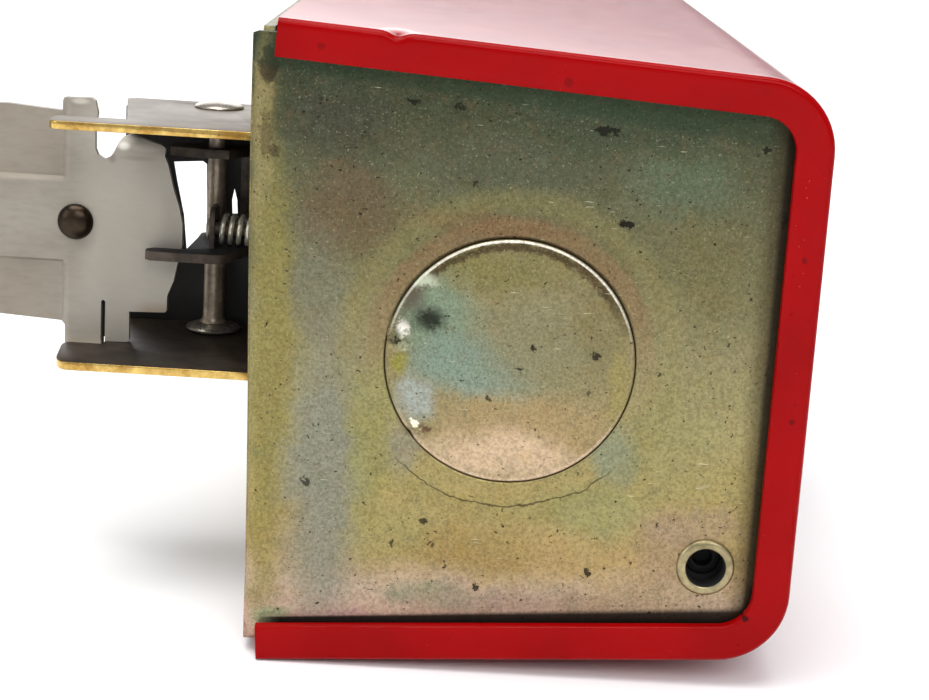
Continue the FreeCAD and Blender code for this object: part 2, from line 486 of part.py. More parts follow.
def make_contacts():
    body = new_body("contact_block")
    slab(body, "block", "X", "<sheet_wall>", "<block_x> - <sheet_wall>",
         [box_loop("<block_near>", "<block_far>", "-19", "19")])
    cut(body, "screw_steps", "X", "5", "<block_x> - 5",
        [box_loop("<block_near>", "<block_far>", "12.5", "19"),
         box_loop("<block_near>", "<block_far>", "-19", "-12.5")])
    cut(body, "terminal_bay", "Z", "-12.5", "12.5 + <blade_z> - 1.4",
        [box_loop("<block_x> - 4", "<block_x>", "<blade_y> + 4.5", "<block_far> - 1.5")])
    cut(body, "block_holes", "X", "<sheet_wall>", "6", [],
        [(y, z, "<screw_rad> - 0.28") for y, z in BLOCK_SCREWS])
    cut(body, "upper_seat", "X", "<block_x> - 4", "4",
        [box_loop("<blade_y> - <blade_width>/2 - 0.02", "<blade_y> + <blade_width>/2 + 0.02",
                  "<blade_z> + 4.63", "<blade_z> + 4.67 + <blade_wall>")])
    terminals = [("<blade_y> + 8.5", "-9.0"), ("<blade_y> + 8.5", "-2.5")]
    cut(body, "terminal_holes", "X", "<block_x> - 7", "3", [],
        [(y, z, "1.05") for y, z in terminals])
    for name, (y, z) in zip(("terminal_screw_low", "terminal_screw_high"), terminals):
        turned(name, ("<block_x> - 4", y, z), Vector(1, 0, 0), [
            ("0", "-2.8"), ("1.0", "-2.8"), ("1.0", "0"), ("2.3", "0"), ("2.3", "1.3"),
            ("1.9", "1.7"), ("0", "1.7")])
    for name, (y, z) in zip(("block_screw_upper", "block_screw_lower"), BLOCK_SCREWS):
        make_screw(name, "5", y, z, "4.9")
    make_screw("ground_screw", "<sheet_wall> + 0.5", *GROUND_SCREW[0], "1.4")
    turned("ground_washer", ("<sheet_wall>",) + GROUND_SCREW[0], Vector(1, 0, 0), [
        ("<screw_rad> - 0.2", "0"), ("3.6", "0"), ("3.6", "0.5"), ("<screw_rad> - 0.2", "0.5")])
    for name, (y, z) in zip(("frame_screw_upper", "frame_screw_lower"), FRAME_SCREWS):
        make_screw(name, "2*<sheet_wall>", y, z, "1.9")
    blade = new_body("moving_blade")
    near = "<blade_y> - <blade_width>/2"
    far = "<blade_y> + <blade_width>/2"
    slab(blade, "blade", "Z", "<blade_z>", "<blade_wall>",
         [[("<block_x> + 0.06", near), ("<blade_tip> - 1.5", near),
           ("<blade_tip>", near + " + 1.5"), ("<blade_tip>", far + " - 1.5"),
           ("<blade_tip> - 1.5", far), ("<block_x> + 0.06", far)]])
    fixed = new_body("fixed_blade")
    slab(fixed, "strip_fixed", "Z", "<blade_z> + 4.65", "<blade_wall>",
         [[("<block_x> - 4", near), ("<blade_tip> - 3.5", near),
           ("<blade_tip> - 2.0", near + " + 1.5"), ("<blade_tip> - 2.0", far + " - 1.5"),
           ("<blade_tip> - 3.5", far), ("<block_x> - 4", far)]])
    turned("moving_contact", ("<blade_tip> - 4.5", "<blade_y>", "<blade_z> + <blade_wall>"),
           Vector(0, 0, 1), [
        ("0", "0"), ("1.3", "0"), ("1.2", "0.5"), ("0.7", "0.75"), ("0", "0.8")])
    turned("fixed_contact", ("<blade_tip> - 4.5", "<blade_y>", "<blade_z> + 4.65"),
           Vector(0, 0, -1), [
        ("0", "0"), ("1.3", "0"), ("1.2", "0.5"), ("0.7", "0.75"), ("0", "0.8")])


def make_cover():
    body = new_body("cover_shell")
    half_len = "<cover_len>/2"
    slab(body, "outside", "Y", "-%s" % half_len, "<cover_len>",
         [mirrored([("<cover_back>", "<rear_half>"), ("<cover_front>", "<front_half>")])])
    inner_front = "<cover_front> - <cover_wall>"
    inner_half = "<front_half> - <cover_wall> + 0.05"
    cut(body, "inside", "Y", "<cover_wall> - %s" % half_len, "<cover_len> - 2*<cover_wall>",
        [mirrored([("<cover_back>", "<rear_half> - <cover_wall>"), (inner_front, inner_half)])])
    soften(body, "inner_corners", "<corner_rad> - <cover_wall>", "Y",
           [(inner_front, inner_half), (inner_front, "-(%s)" % inner_half)])
    lip_front = "<cover_front> - <lip_width>"
    lip_half = "<front_half> - <lip_width> + 0.2"
    mouth = mirrored([("<cover_back>", "<rear_half> - <lip_width>"), (lip_front, lip_half)])
    cut(body, "mouths", "Y", "-%s" % half_len, "<cover_len>", [mouth])
    soften(body, "mouth_corners", "<corner_rad> - <lip_width>", "Y",
           [(lip_front, lip_half), (lip_front, "-(%s)" % lip_half)])
    soften(body, "outer_corners", "<corner_rad>", "Y",
           [("<cover_front>", "<front_half>"), ("<cover_front>", "-<front_half>")])
    wide = "<handle_half> + <window_gap>"
    top = "<handle_top> + <window_gap>"
    cut(body, "window", "X", "<cover_front> - 2", "3",
        [box_loop("-(%s)" % wide, wide, "<window_low>", top)])
    soften(body, "window_corners", "2.0", "X",
           [("-(%s)" % wide, top), (wide, top), ("-(%s)" % wide, "<window_low>"),
            (wide, "<window_low>")])
    cut(body, "plate_holes", "X", "<cover_front> - 2", "3", [],
        [("-33", "-12.0", "1.05"), ("33", "-12.0", "1.05")])
    trim = new_body("window_trim")
    slab(trim, "trim_plate", "X", "<cover_front>", "0.8",
         [box_loop("-(%s) - 3" % wide, wide + " + 3", "<window_low> - 2.2", top + " + 2.2")])
    soften(trim, "trim_corners", "2.6", "X",
           [("-(%s) - 3" % wide, top + " + 2.2"), (wide + " + 3", top + " + 2.2"),
            ("-(%s) - 3" % wide, "<window_low> - 2.2"), (wide + " + 3", "<window_low> - 2.2")])
    cut(trim, "trim_window", "X", "<cover_front>", "0.8",
        [box_loop("-(%s)" % wide, wide, "<window_low>", top)])
    plate = new_body("blank_plate")
    slab(plate, "plate", "X", "<cover_front>", "0.6",
         [box_loop("-37", "37", "-17.5", "-6.5")])
    soften(plate, "plate_corners", "1.5", "X",
           [("-37", "-17.5"), ("37", "-17.5"), ("-37", "-6.5"), ("37", "-6.5")])
    cut(plate, "rivet_holes", "X", "<cover_front>", "0.6", [],
        [("-33", "-12.0", "1.05"), ("33", "-12.0", "1.05")])
    for name, y in (("plate_rivet_near", "-33"), ("plate_rivet_far", "33")):
        turned(name, ("<cover_front> + 0.6", y, "-12.0"), Vector(1, 0, 0), [
            ("0", "-2.0"), ("1.5", "-1.95"), ("1.6", "-1.6"), ("1.0", "-1.6"), ("1.0", "0"),
            ("1.9", "0"), ("1.6", "0.4"), ("0.8", "0.65"), ("0", "0.7")])
    lug = new_body("lock_lug")
    lug_y = "9.4 - <cover_len>/2"
    lug_top = "11.25 - <front_half>"
    # the cover's inner face falls towards the front, so both heights share in the lug's foot
    foot_back = "0.0375 + <cover_wall> - 0.25 * <rear_half> - 0.75 * <front_half>"
    foot_front = "0.0335 + <cover_wall> - 0.13 * <rear_half> - 0.87 * <front_half>"
    slab(lug, "lug_plate", "Y", lug_y, "1.0",
         [[("37.5", foot_back), ("43.2", foot_front), ("46.4", "4.45 - <front_half>"),
           ("46.4", lug_top), ("37.5", lug_top)]])
    slab(lug, "lug_foot", "Y", lug_y, "7.0",
         [[("37.5", foot_back), ("43.2", foot_front), ("43.2", foot_front + " + 1"),
           ("37.5", foot_back + " + 1")]])
    cut(lug, "lug_hole", "Y", lug_y, "1.0", [],
        [("<key_x>", "<key_rise> - <front_half>", "<bolt_rad> + 0.09")])
    soften(lug, "lug_top", "1.5", "Y", [("37.5", lug_top), ("46.4", lug_top)])


make_chassis()
make_eyelet()
make_bracket()
make_pin()
make_latch()
make_arm()
make_rod()
make_handle()
make_frame()
make_contacts()
make_cover()
doc.recompute()

os.makedirs("parts", exist_ok=True)
for item in doc.Objects:
    if "Invalid" in item.State or "Error" in item.State:
        raise RuntimeError("object %s did not recompute: %s" % (item.Name, item.State))
for item in exported:
    if item.Shape.isNull() or not item.Shape.isValid():
        raise RuntimeError("bad shape in " + item.Label)
    if len(item.Shape.Solids) != 1:
        raise RuntimeError("%s has %d solids" % (item.Label, len(item.Shape.Solids)))
    item.Shape.exportStep("parts/%s.step" % item.Label)
print("exported", len(exported), "parts")
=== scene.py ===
import json
import math
import bmesh
import bpy
from mathutils import Matrix, Vector


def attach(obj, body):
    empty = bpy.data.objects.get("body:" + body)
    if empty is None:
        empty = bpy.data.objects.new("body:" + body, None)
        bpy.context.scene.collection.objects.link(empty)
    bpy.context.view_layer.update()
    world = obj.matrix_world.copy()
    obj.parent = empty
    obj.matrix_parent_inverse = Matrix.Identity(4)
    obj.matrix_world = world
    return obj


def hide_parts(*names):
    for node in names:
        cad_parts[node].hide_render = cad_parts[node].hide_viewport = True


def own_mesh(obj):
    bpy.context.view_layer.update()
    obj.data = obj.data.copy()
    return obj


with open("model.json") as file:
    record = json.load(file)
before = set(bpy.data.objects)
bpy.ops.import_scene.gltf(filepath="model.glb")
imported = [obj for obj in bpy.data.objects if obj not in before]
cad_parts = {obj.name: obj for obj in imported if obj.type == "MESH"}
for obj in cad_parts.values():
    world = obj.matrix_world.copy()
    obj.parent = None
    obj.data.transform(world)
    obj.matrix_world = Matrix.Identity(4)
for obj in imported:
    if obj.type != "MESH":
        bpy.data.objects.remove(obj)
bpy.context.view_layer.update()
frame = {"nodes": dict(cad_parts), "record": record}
nodes = frame["nodes"]
bodyOf = {n: b for b, ns in frame["record"]["behaviour"]["bodies"].items() for n in ns}
slotOf = {p["node"]: p["material_slot"] for p in frame["record"]["subparts"]}
mm = 0.001
print("frame loaded:", len(nodes), "nodes")


# ---------- materials ----------

class Graph:
    # short hand for building one material's nodes
    def __init__(self, name):
        self.mat = bpy.data.materials.new(name)
        self.mat.use_nodes = True
        self.tree = self.mat.node_tree
        self.shader = self.tree.nodes["Principled BSDF"]
        place = self.add("ShaderNodeTexCoord").outputs["Object"]
        scale = self.add("ShaderNodeVectorMath", operation="SCALE")
        scale.inputs["Scale"].default_value = 1000.0  # patterns are written in millimetres
        self.link(place, scale.inputs[0])
        self.place = scale.outputs[0]

    def add(self, kind, **settings):
        node = self.tree.nodes.new(kind)
        for key, value in settings.items():
            setattr(node, key, value)
        return node

    def link(self, source, target):
        self.tree.links.new(source, target)

    def put(self, socket, value):
        if hasattr(value, "is_output"):
            self.link(value, socket)
        else:
            socket.default_value = value

    def math(self, operation, a, b=0.0, clamp=False):
        node = self.add("ShaderNodeMath", operation=operation, use_clamp=clamp)
        self.put(node.inputs[0], a)
        self.put(node.inputs[1], b)
        return node.outputs[0]

    def noise(self, size, detail=4.0, rough=0.55, stretch=(1, 1, 1), seed=0.0):
        # size is the pattern's grain in millimetres
        spot = self.add("ShaderNodeMapping")
        spot.inputs["Scale"].default_value = [s / size for s in stretch]
        spot.inputs["Location"].default_value = (seed, seed * 1.7, seed * 0.6)
        self.link(self.place, spot.inputs["Vector"])
        node = self.add("ShaderNodeTexNoise")
        node.inputs["Scale"].default_value = 1.0
        node.inputs["Detail"].default_value = detail
        node.inputs["Roughness"].default_value = rough
        self.link(spot.outputs[0], node.inputs["Vector"])
        return node.outputs[0]

    def span(self, value, low, high, outLow=0.0, outHigh=1.0):
        node = self.add("ShaderNodeMapRange", interpolation_type="SMOOTHSTEP")
        for key, number in ((1, low), (2, high), (3, outLow), (4, outHigh)):
            node.inputs[key].default_value = number
        self.put(node.inputs[0], value)
        return node.outputs[0]

    def ramp(self, value, stops):
        node = self.add("ShaderNodeValToRGB")
        band = node.color_ramp
        while len(band.elements) < len(stops):
            band.elements.new(0.5)
        for element, (where, color) in zip(band.elements, stops):
            element.position = where
            element.color = (*color, 1)
        self.link(value, node.inputs[0])
        return node.outputs[0]

    def mix(self, amount, a, b, blend="MIX"):
        node = self.add("ShaderNodeMix", data_type="RGBA", blend_type=blend)
        self.put(node.inputs[0], amount)
        self.put(node.inputs[6], a if hasattr(a, "is_output") else (*a, 1))
        self.put(node.inputs[7], b if hasattr(b, "is_output") else (*b, 1))
        return node.outputs[2]

    def axes(self):
        # the three coordinates of the place, in millimetres
        node = self.add("ShaderNodeSeparateXYZ")
        self.link(self.place, node.inputs[0])
        return node.outputs[0], node.outputs[1], node.outputs[2]

    def length(self, a, b):
        return self.math("SQRT", self.math("ADD", self.math("MULTIPLY", a, a),
                                           self.math("MULTIPLY", b, b)))

    def away(self, x, z, spot, reach=(1.0, 1.0)):
        # how far a place is from a spot, 1.0 at the spot's reach
        return self.length(self.math("DIVIDE", self.math("SUBTRACT", x, spot[0]), reach[0]),
                           self.math("DIVIDE", self.math("SUBTRACT", z, spot[1]), reach[1]))

    def bump(self, height, strength, distance=0.0001, under=None):
        node = self.add("ShaderNodeBump")
        node.inputs["Strength"].default_value = strength
        node.inputs["Distance"].default_value = distance
        self.link(height, node.inputs["Height"])
        if under is not None:
            self.link(under, node.inputs["Normal"])
        return node.outputs[0]

    def finish(self, color, rough, metallic=0.0, normal=None, **flat):
        self.put(self.shader.inputs["Base Color"], color)
        self.put(self.shader.inputs["Roughness"], rough)
        self.shader.inputs["Metallic"].default_value = metallic
        for key, value in flat.items():
            self.shader.inputs[key.replace("_", " ")].default_value = value
        if normal is not None:
            self.link(normal, self.shader.inputs["Normal"])
        return self.mat


def tone(r, g, b):
    # a colour as the eye reads it, 0 to 255, in the shader's linear scale
    return tuple(((c / 255 + 0.055) / 1.055) ** 2.4 if c > 10 else c / 255 / 12.92
                 for c in (r, g, b))


# x and z of the larger chips in the cover's paint, their reach and weight
enamelChips = [((41.7, 22.3), 0.32, 0.9), ((38.3, 22.9), 0.4, 0.45), ((45.6, 20.8), 0.4, 0.8),
               ((26.4, 25.2), 0.5, 0.35), ((45.8, -22.3), 0.34, 0.9), ((48.2, -3.6), 0.3, 0.6),
               ((47.9, 11.0), 0.3, 0.5), ((5.2, 27.0), 0.4, 0.35)]


def redEnamel():
    g = Graph("redEnamel")
    cloud = g.noise(9, 3)
    peel = g.noise(1.1, 2, 0.4)
    color = g.mix(g.span(cloud, 0.3, 0.7), tone(140, 0, 2), tone(152, 1, 4))
    blotch = g.span(g.noise(1.5, 3, 0.6, seed=41), 0.66, 0.74)
    blotch = g.math("MULTIPLY", blotch, g.span(g.noise(8, 2, seed=44), 0.46, 0.6))
    color = g.mix(g.math("MULTIPLY", blotch, 0.2), color, tone(112, 4, 6))
    fleckNoise = g.noise(0.5, 3, 0.6, seed=4)
    fleck = g.span(fleckNoise, 0.7, 0.73)
    patch = g.span(g.noise(5.5, 2, seed=9), 0.5, 0.6)
    chips = g.math("MULTIPLY", fleck, patch)
    color = g.mix(g.math("MULTIPLY", chips, 0.85), color, tone(52, 6, 6))
    dust = g.span(g.noise(0.3, 2, 0.5, seed=21), 0.74, 0.77)
    dust = g.math("MULTIPLY", dust, g.span(g.noise(7, 2, seed=31), 0.48, 0.6))
    color = g.mix(g.math("MULTIPLY", dust, 0.6), color, tone(226, 120, 112))
    x, _, z = g.axes()
    for spot, reach, weight in enamelChips:
        far = g.away(x, z, spot)
        far = g.math("ADD", far, g.math("MULTIPLY", g.math("SUBTRACT", fleckNoise, 0.5), 0.5))
        color = g.mix(g.span(far, reach, reach * 0.6, 0.0, weight), color, tone(42, 4, 4))
    rough = g.span(g.noise(3.5, 4, seed=2), 0.25, 0.8, 0.12, 0.15)
    normal = g.bump(peel, 0.003, 0.0002)
    normal = g.bump(chips, 0.3, -0.00006, normal)
    return g.finish(color, rough, 0.0, normal, IOR=1.18)


plateLook = {
    # height on the plate from bottom to top, and the tint there: the plating's own tint, darkened towards
    # the top by painted shade
    "tintAndShadeBands": [(0.0, (196, 162, 142)), (0.05, (196, 164, 144)), (0.11, (190, 168, 144)),
              (0.17, (180, 154, 104)), (0.28, (170, 154, 98)), (0.4, (164, 154, 106)),
              (0.52, (146, 138, 100)), (0.66, (116, 112, 78)), (0.78, (98, 99, 73)),
              (0.88, (74, 78, 56)), (0.96, (54, 64, 46)), (1.0, (40, 48, 34))],
    # middle x and z, reach in x and z, tint and weight
    "clouds": [
        ((6.8, -12.0), (4.6, 17.0), (136, 138, 124), 0.85),
        ((5.5, 6.0), (3.6, 7.0), (122, 122, 104), 0.6),
        ((1.6, -2.0), (2.6, 26.0), (142, 132, 74), 0.8),
        ((11.0, -8.0), (2.6, 9.0), (146, 146, 86), 0.55),
        ((8.0, 13.0), (5.0, 5.0), (104, 80, 60), 0.55),
        ((7.5, 20.0), (6.0, 3.6), (66, 66, 54), 0.6),
        ((20.0, 12.2), (9.0, 1.6), (114, 90, 62), 0.6),
        ((23.0, 17.5), (9.0, 3.2), (84, 88, 70), 0.6),
        ((37.0, 17.0), (5.5, 4.0), (94, 110, 86), 0.6),
        ((31.0, 21.5), (12.0, 3.0), (66, 78, 58), 0.6),
        ((40.0, 9.0), (4.0, 6.0), (116, 108, 70), 0.5),
        ((13.0, -17.0), (5.0, 3.6), (150, 148, 92), 0.5),
        ((31.0, -13.5), (7.0, 3.0), (146, 152, 104), 0.55),
        ((20.0, -18.0), (8.0, 3.2), (152, 130, 76), 0.6),
        ((38.0, -7.0), (5.0, 6.0), (150, 144, 96), 0.5),
        ((17.0, -22.3), (6.0, 1.1), (142, 148, 118), 0.7),
        ((26.0, -23.0), (14.0, 2.2), (160, 134, 118), 0.6),
        ((2.6, -25.4), (2.4, 1.6), (140, 158, 118), 0.8),
        ((12.0, -25.8), (10.0, 1.4), (184, 150, 146), 0.75),
        ((40.5, -14.4), (5.6, 2.6), (164, 138, 120), 0.5),
        ((38.4, -17.5), (3.2, 4.6), (158, 134, 116), 0.45),
        ((0.4, 20.0), (1.5, 12.0), (150, 138, 92), 0.85),
        ((13.6, -8.6), (2.2, 3.2), (140, 138, 128), 0.6),
        ((36.0, -22.5), (9.0, 2.6), (160, 136, 100), 0.5),
        ((1.0, -20.0), (1.8, 6.0), (150, 136, 74), 0.5),
        ((19.0, 10.0), (3.0, 1.2), (104, 102, 82), 0.5),
        ((33.0, -8.4), (2.4, 3.4), (128, 146, 128), 0.6),
    ],
    # sharper spots that keep their own outline
    "marks": [
        ((0.7, 25.0), (0.9, 1.6), (44, 34, 24), 0.8),
        ((0.6, 19.0), (0.5, 2.2), (70, 56, 36), 0.5),
        ((1.4, 17.6), (0.5, 0.5), (52, 42, 28), 0.6),
        ((32.4, 13.0), (0.75, 0.32), (22, 18, 12), 0.95),
        ((30.1, 21.1), (1.3, 0.4), (20, 22, 14), 0.9),
        ((13.4, 22.6), (0.6, 0.28), (26, 24, 16), 0.9),
        ((17.3, 22.3), (0.6, 0.26), (26, 24, 16), 0.8),
        ((44.0, 20.2), (0.5, 0.32), (22, 18, 12), 0.85),
        ((46.0, 14.2), (0.24, 0.9), (28, 24, 14), 0.8),
        ((19.0, 15.8), (0.42, 0.3), (34, 28, 18), 0.8),
        ((16.0, -15.2), (0.42, 0.24), (30, 24, 14), 0.85),
        ((13.4, -17.6), (0.28, 0.42), (34, 26, 16), 0.8),
        ((16.8, -17.4), (0.4, 0.22), (34, 26, 16), 0.7),
        ((5.3, -12.2), (0.4, 0.36), (36, 30, 22), 0.8),
        ((31.2, -19.2), (0.26, 0.42), (24, 20, 12), 0.9),
        ((21.2, -21.4), (0.3, 0.36), (26, 20, 14), 0.9),
    ],
    "slug": (23.0, 0.0, 11.1),
    "slugClouds": [
        ((16.4, 3.6), (4.6, 5.0), (124, 148, 126), 0.8),
        ((18.8, -0.8), (6.0, 3.4), (130, 150, 134), 0.9),
        ((21.5, -2.4), (6.0, 1.6), (138, 152, 134), 0.7),
        ((25.0, 2.0), (7.0, 5.5), (138, 134, 102), 0.8),
        ((21.5, 8.4), (7.0, 2.6), (124, 120, 66), 0.6),
        ((30.6, 4.5), (3.4, 6.0), (132, 122, 84), 0.8),
        ((14.6, -3.8), (2.4, 2.3), (164, 170, 160), 0.95),
        ((25.0, -6.6), (10.5, 4.4), (174, 150, 108), 0.9),
        ((22.5, -8.8), (9.5, 2.8), (218, 190, 158), 0.85),
        ((32.8, -2.0), (1.3, 5.0), (160, 148, 84), 0.5),
        ((13.2, -0.7), (1.2, 1.2), (150, 146, 66), 0.9),
    ],
    # spots on the slug: painted shade, a painted highlight and a painted reflection at the big dent by the
    # ties, a painted highlight and painted shade at the small dent below it, and darker marks and stains
    "slugMarksAndDentLight": [
        ((15.7, 3.5), (1.9, 1.5), (30, 34, 24), 0.95),
        ((14.2, 5.2), (1.3, 1.5), (92, 84, 72), 0.8),
        ((13.3, 2.5), (0.7, 0.95), (252, 248, 238), 1.0),
        ((15.0, 7.0), (1.5, 0.9), (196, 204, 178), 0.8),
        ((12.9, 1.3), (1.1, 0.3), (30, 20, 10), 0.9),
        ((14.9, -6.2), (0.42, 0.34), (250, 240, 214), 0.95),
        ((15.9, -6.6), (0.8, 0.5), (84, 58, 46), 0.85),
        ((23.9, -0.6), (0.62, 0.2), (34, 28, 20), 0.9),
        ((25.0, 1.4), (0.24, 0.24), (30, 24, 16), 0.9),
        ((30.6, 1.0), (0.5, 0.34), (34, 28, 18), 0.9),
        ((21.2, -3.4), (0.22, 0.2), (30, 22, 14), 0.8),
        ((30.2, -2.4), (0.3, 0.2), (44, 34, 22), 0.7),
    ],
}


def zincPlate(name="zincPlate", detailed=True):
    g = Graph(name)
    x, y, z = g.axes()
    onEnd = g.span(g.math("ABSOLUTE", y), 56.9, 57.4)
    onNear = g.math("MULTIPLY", onEnd, g.span(y, 5.0, -5.0))
    wobble = g.math("MULTIPLY", g.math("SUBTRACT", g.noise(6, 5, 0.62), 0.5), 5.5)
    ripple = g.math("MULTIPLY", g.math("SUBTRACT", g.noise(5, 5, 0.65, seed=7), 0.5), 4.5)
    shake = g.math("MULTIPLY", g.math("SUBTRACT", g.noise(0.55, 3, 0.7, seed=8), 0.5), 1.7)
    wx, wz = g.math("ADD", x, wobble), g.math("ADD", z, ripple)
    sx, sz = g.math("ADD", x, shake), g.math("SUBTRACT", z, shake)
    height = g.math("DIVIDE", g.math("ADD", wz, 28.2), 56.4, True)
    # the plating's tint by height, with painted shade darkening it towards the top
    color = g.ramp(height, [(w, tone(*c)) for w, c in plateLook["tintAndShadeBands"]])

    def cloud(base, spot, reach, tint, weight, mask=None, sharp=False, soft=0.35):
        far = g.away(sx if sharp else wx, sz if sharp else wz, spot, reach)
        part = g.span(far, 1.15, soft, 0.0, weight)
        if mask is not None:
            part = g.math("MULTIPLY", part, mask)
        return g.mix(part, base, tone(*tint))

    def band(value, low, high, soft):
        return g.math("MULTIPLY", g.span(value, low - soft, low + soft),
                      g.span(value, high + soft, high - soft))

    if detailed:
        for spot, reach, tint, weight in plateLook["clouds"]:
            color = cloud(color, spot, reach, tint, weight)
        cx, cz, radius = plateLook["slug"]
        fromSlug = g.away(x, z, (cx, cz))
        ripples = g.math("ADD", fromSlug, g.math("MULTIPLY", shake, 0.8))
        color = g.mix(g.math("MULTIPLY", band(ripples, radius, radius + 1.9, 0.5),
                             g.span(z, -4.0, 8.0, 0.08, 0.5)), color, tone(148, 114, 80))
        color = g.mix(g.math("MULTIPLY", band(ripples, radius + 2.4, radius + 4.4, 0.8), 0.35),
                      color, tone(146, 136, 84))
        inside = g.span(fromSlug, radius + 0.12, radius)
        color = g.mix(g.math("MULTIPLY", inside, 0.75), color, tone(146, 134, 96))
        for spot, reach, tint, weight in plateLook["slugClouds"]:
            color = cloud(color, spot, reach, tint, weight, inside)
        # painted shade just inside the slug's top rim, a painted highlight on that rim and painted shade
        # beside the slit beyond it, all strongest towards the top
        high = g.span(z, 1.0, 7.5)
        color = g.mix(g.math("MULTIPLY", band(ripples, radius - 1.0, radius - 0.25, 0.25),
                             g.math("MULTIPLY", high, 0.8)), color, tone(58, 42, 22))
        color = g.mix(g.math("MULTIPLY", band(fromSlug, radius - 0.24, radius - 0.05, 0.05),
                             g.math("MULTIPLY", high, g.span(shake, -0.4, 0.1, 0.5, 1.0))),
                      color, tone(255, 248, 232))
        color = g.mix(g.math("MULTIPLY", band(fromSlug, radius + 0.16, radius + 0.3, 0.08),
                             g.math("MULTIPLY", high, 0.7)), color, tone(54, 34, 24))
        # a painted highlight on the slug's lower rim
        low = g.span(z, -3.0, -8.0)
        color = g.mix(g.math("MULTIPLY", band(fromSlug, radius - 0.32, radius - 0.05, 0.08),
                             g.math("MULTIPLY", low, 0.55)), color, tone(232, 204, 176))
        # hairline that follows the pressed ring
        ring = g.math("ABSOLUTE", g.math("SUBTRACT", g.math("ADD", fromSlug,
                      g.math("MULTIPLY", g.noise(2.4, 3, seed=3), 1.5)), radius + 3.1))
        line = g.math("MULTIPLY", g.span(ring, 0.12, 0.02), g.span(z, -8.6, -10.8))
        line = g.math("MULTIPLY", line, onEnd)
        color = g.mix(g.math("MULTIPLY", line, 0.8), color, tone(56, 40, 26))
    # colour breaks up at several scales
    for size, seed, tint, weight in ((2.6, 12, (170, 156, 104), 0.3), (1.7, 51, (104, 112, 88), 0.3),
                                     (1.1, 57, (128, 96, 66), 0.24)):
        blot = g.span(g.noise(size, 5, 0.68, seed=seed), 0.5, 0.74, 0.0, weight)
        color = g.mix(blot, color, tone(*tint), "SOFT_LIGHT" if size > 2 else "MIX")
    grain = g.noise(0.26, 4, 0.75, seed=5)
    color = g.mix(g.span(grain, 0.36, 0.66, 0.0, 0.4), color, tone(96, 90, 66), "MULTIPLY")
    glint = g.span(g.noise(0.22, 3, 0.7, seed=61), 0.58, 0.74, 0.0, 0.3)
    color = g.mix(glint, color, tone(214, 206, 170))
    speck = g.span(g.noise(0.62, 4, 0.66, seed=15), 0.655, 0.69)
    where = g.span(g.noise(5.0, 3, seed=18), 0.45, 0.58)
    pits = g.math("MULTIPLY", speck, where)
    dots = g.span(g.noise(0.4, 2, 0.5, (0.8, 1, 1.1), seed=28), 0.7, 0.73)
    pits = g.math("MAXIMUM", pits, dots)
    color = g.mix(g.math("MULTIPLY", pits, 0.85), color, tone(30, 23, 15))
    hair = g.span(g.noise(0.14, 2, 0.5, (0.07, 1, 0.9), seed=33), 0.7, 0.76)
    hair = g.math("MULTIPLY", hair, g.span(g.noise(4.0, 2, seed=36), 0.5, 0.62))
    color = g.mix(g.math("MULTIPLY", hair, 0.6), color, tone(222, 214, 184))
    if detailed:
        for spot, reach, tint, weight in plateLook["marks"]:
            color = cloud(color, spot, reach, tint, weight, onNear, True, 0.8)
        inside = g.math("MULTIPLY", inside, onNear)
        # the slug's spots, with the dents' painted highlights, painted shade and painted reflection
        for spot, reach, tint, weight in plateLook["slugMarksAndDentLight"]:
            color = cloud(color, spot, reach, tint, weight, inside, True,
                          0.2 if max(reach) > 0.6 else 0.75)
        # painted shadow under the top lip, and painted shade along the bottom lip, in the lower right
        # corner and along the right lip
        top = g.math("SUBTRACT", g.math("SUBTRACT", 25.8, g.math("MULTIPLY", x, 0.0612)), z)
        low = g.math("ADD", g.math("SUBTRACT", 25.8, g.math("MULTIPLY", x, 0.0612)), z)
        side = g.math("SUBTRACT", 46.3, x)
        reachTop = g.math("ADD", 1.0, g.math("MULTIPLY", x, 0.05))
        reachLow = g.math("ADD", 0.25, g.math("MULTIPLY", x, 0.022))
        shade = g.span(g.math("DIVIDE", top, reachTop), 1.0, 0.55, 0.0, 0.5)
        color = g.mix(g.math("MULTIPLY", shade, onEnd), color, tone(40, 58, 38))
        # painted shade along the bottom lip
        shade = g.span(g.math("DIVIDE", low, reachLow), 1.1, 0.5, 0.0, 0.95)
        shade = g.math("MULTIPLY", shade, g.span(x, 0.9, 3.5))
        color = g.mix(g.math("MULTIPLY", shade, onEnd), color, tone(14, 9, 7))
        # painted shade in the lower right corner
        corner = g.length(g.math("MAXIMUM", g.math("SUBTRACT", x, 42.6), 0.0),
                          g.math("MAXIMUM", g.math("SUBTRACT", -20.2, z), 0.0))
        shade = g.span(corner, 3.0, 4.0, 0.0, 0.95)
        shade = g.math("MULTIPLY", shade, g.span(x, 42.0, 43.4))
        color = g.mix(g.math("MULTIPLY", shade, g.span(z, -19.0, -20.4)), color, tone(12, 8, 6))
        # painted shade along the right lip
        shade = g.span(side, 2.6, 0.6, 0.0, 0.62)
        color = g.mix(shade, color, tone(52, 40, 22))
        shade = g.span(side, 0.9, 0.3, 0.0, 0.8)
        color = g.mix(shade, color, tone(22, 16, 8))
    rough = g.span(grain, 0.25, 0.8, 0.36, 0.52)
    normal = g.bump(grain, 0.16, 0.00012)
    normal = g.bump(pits, 0.5, -0.0001, normal)
    return g.finish(color, rough, 0.55, normal, IOR=1.3)


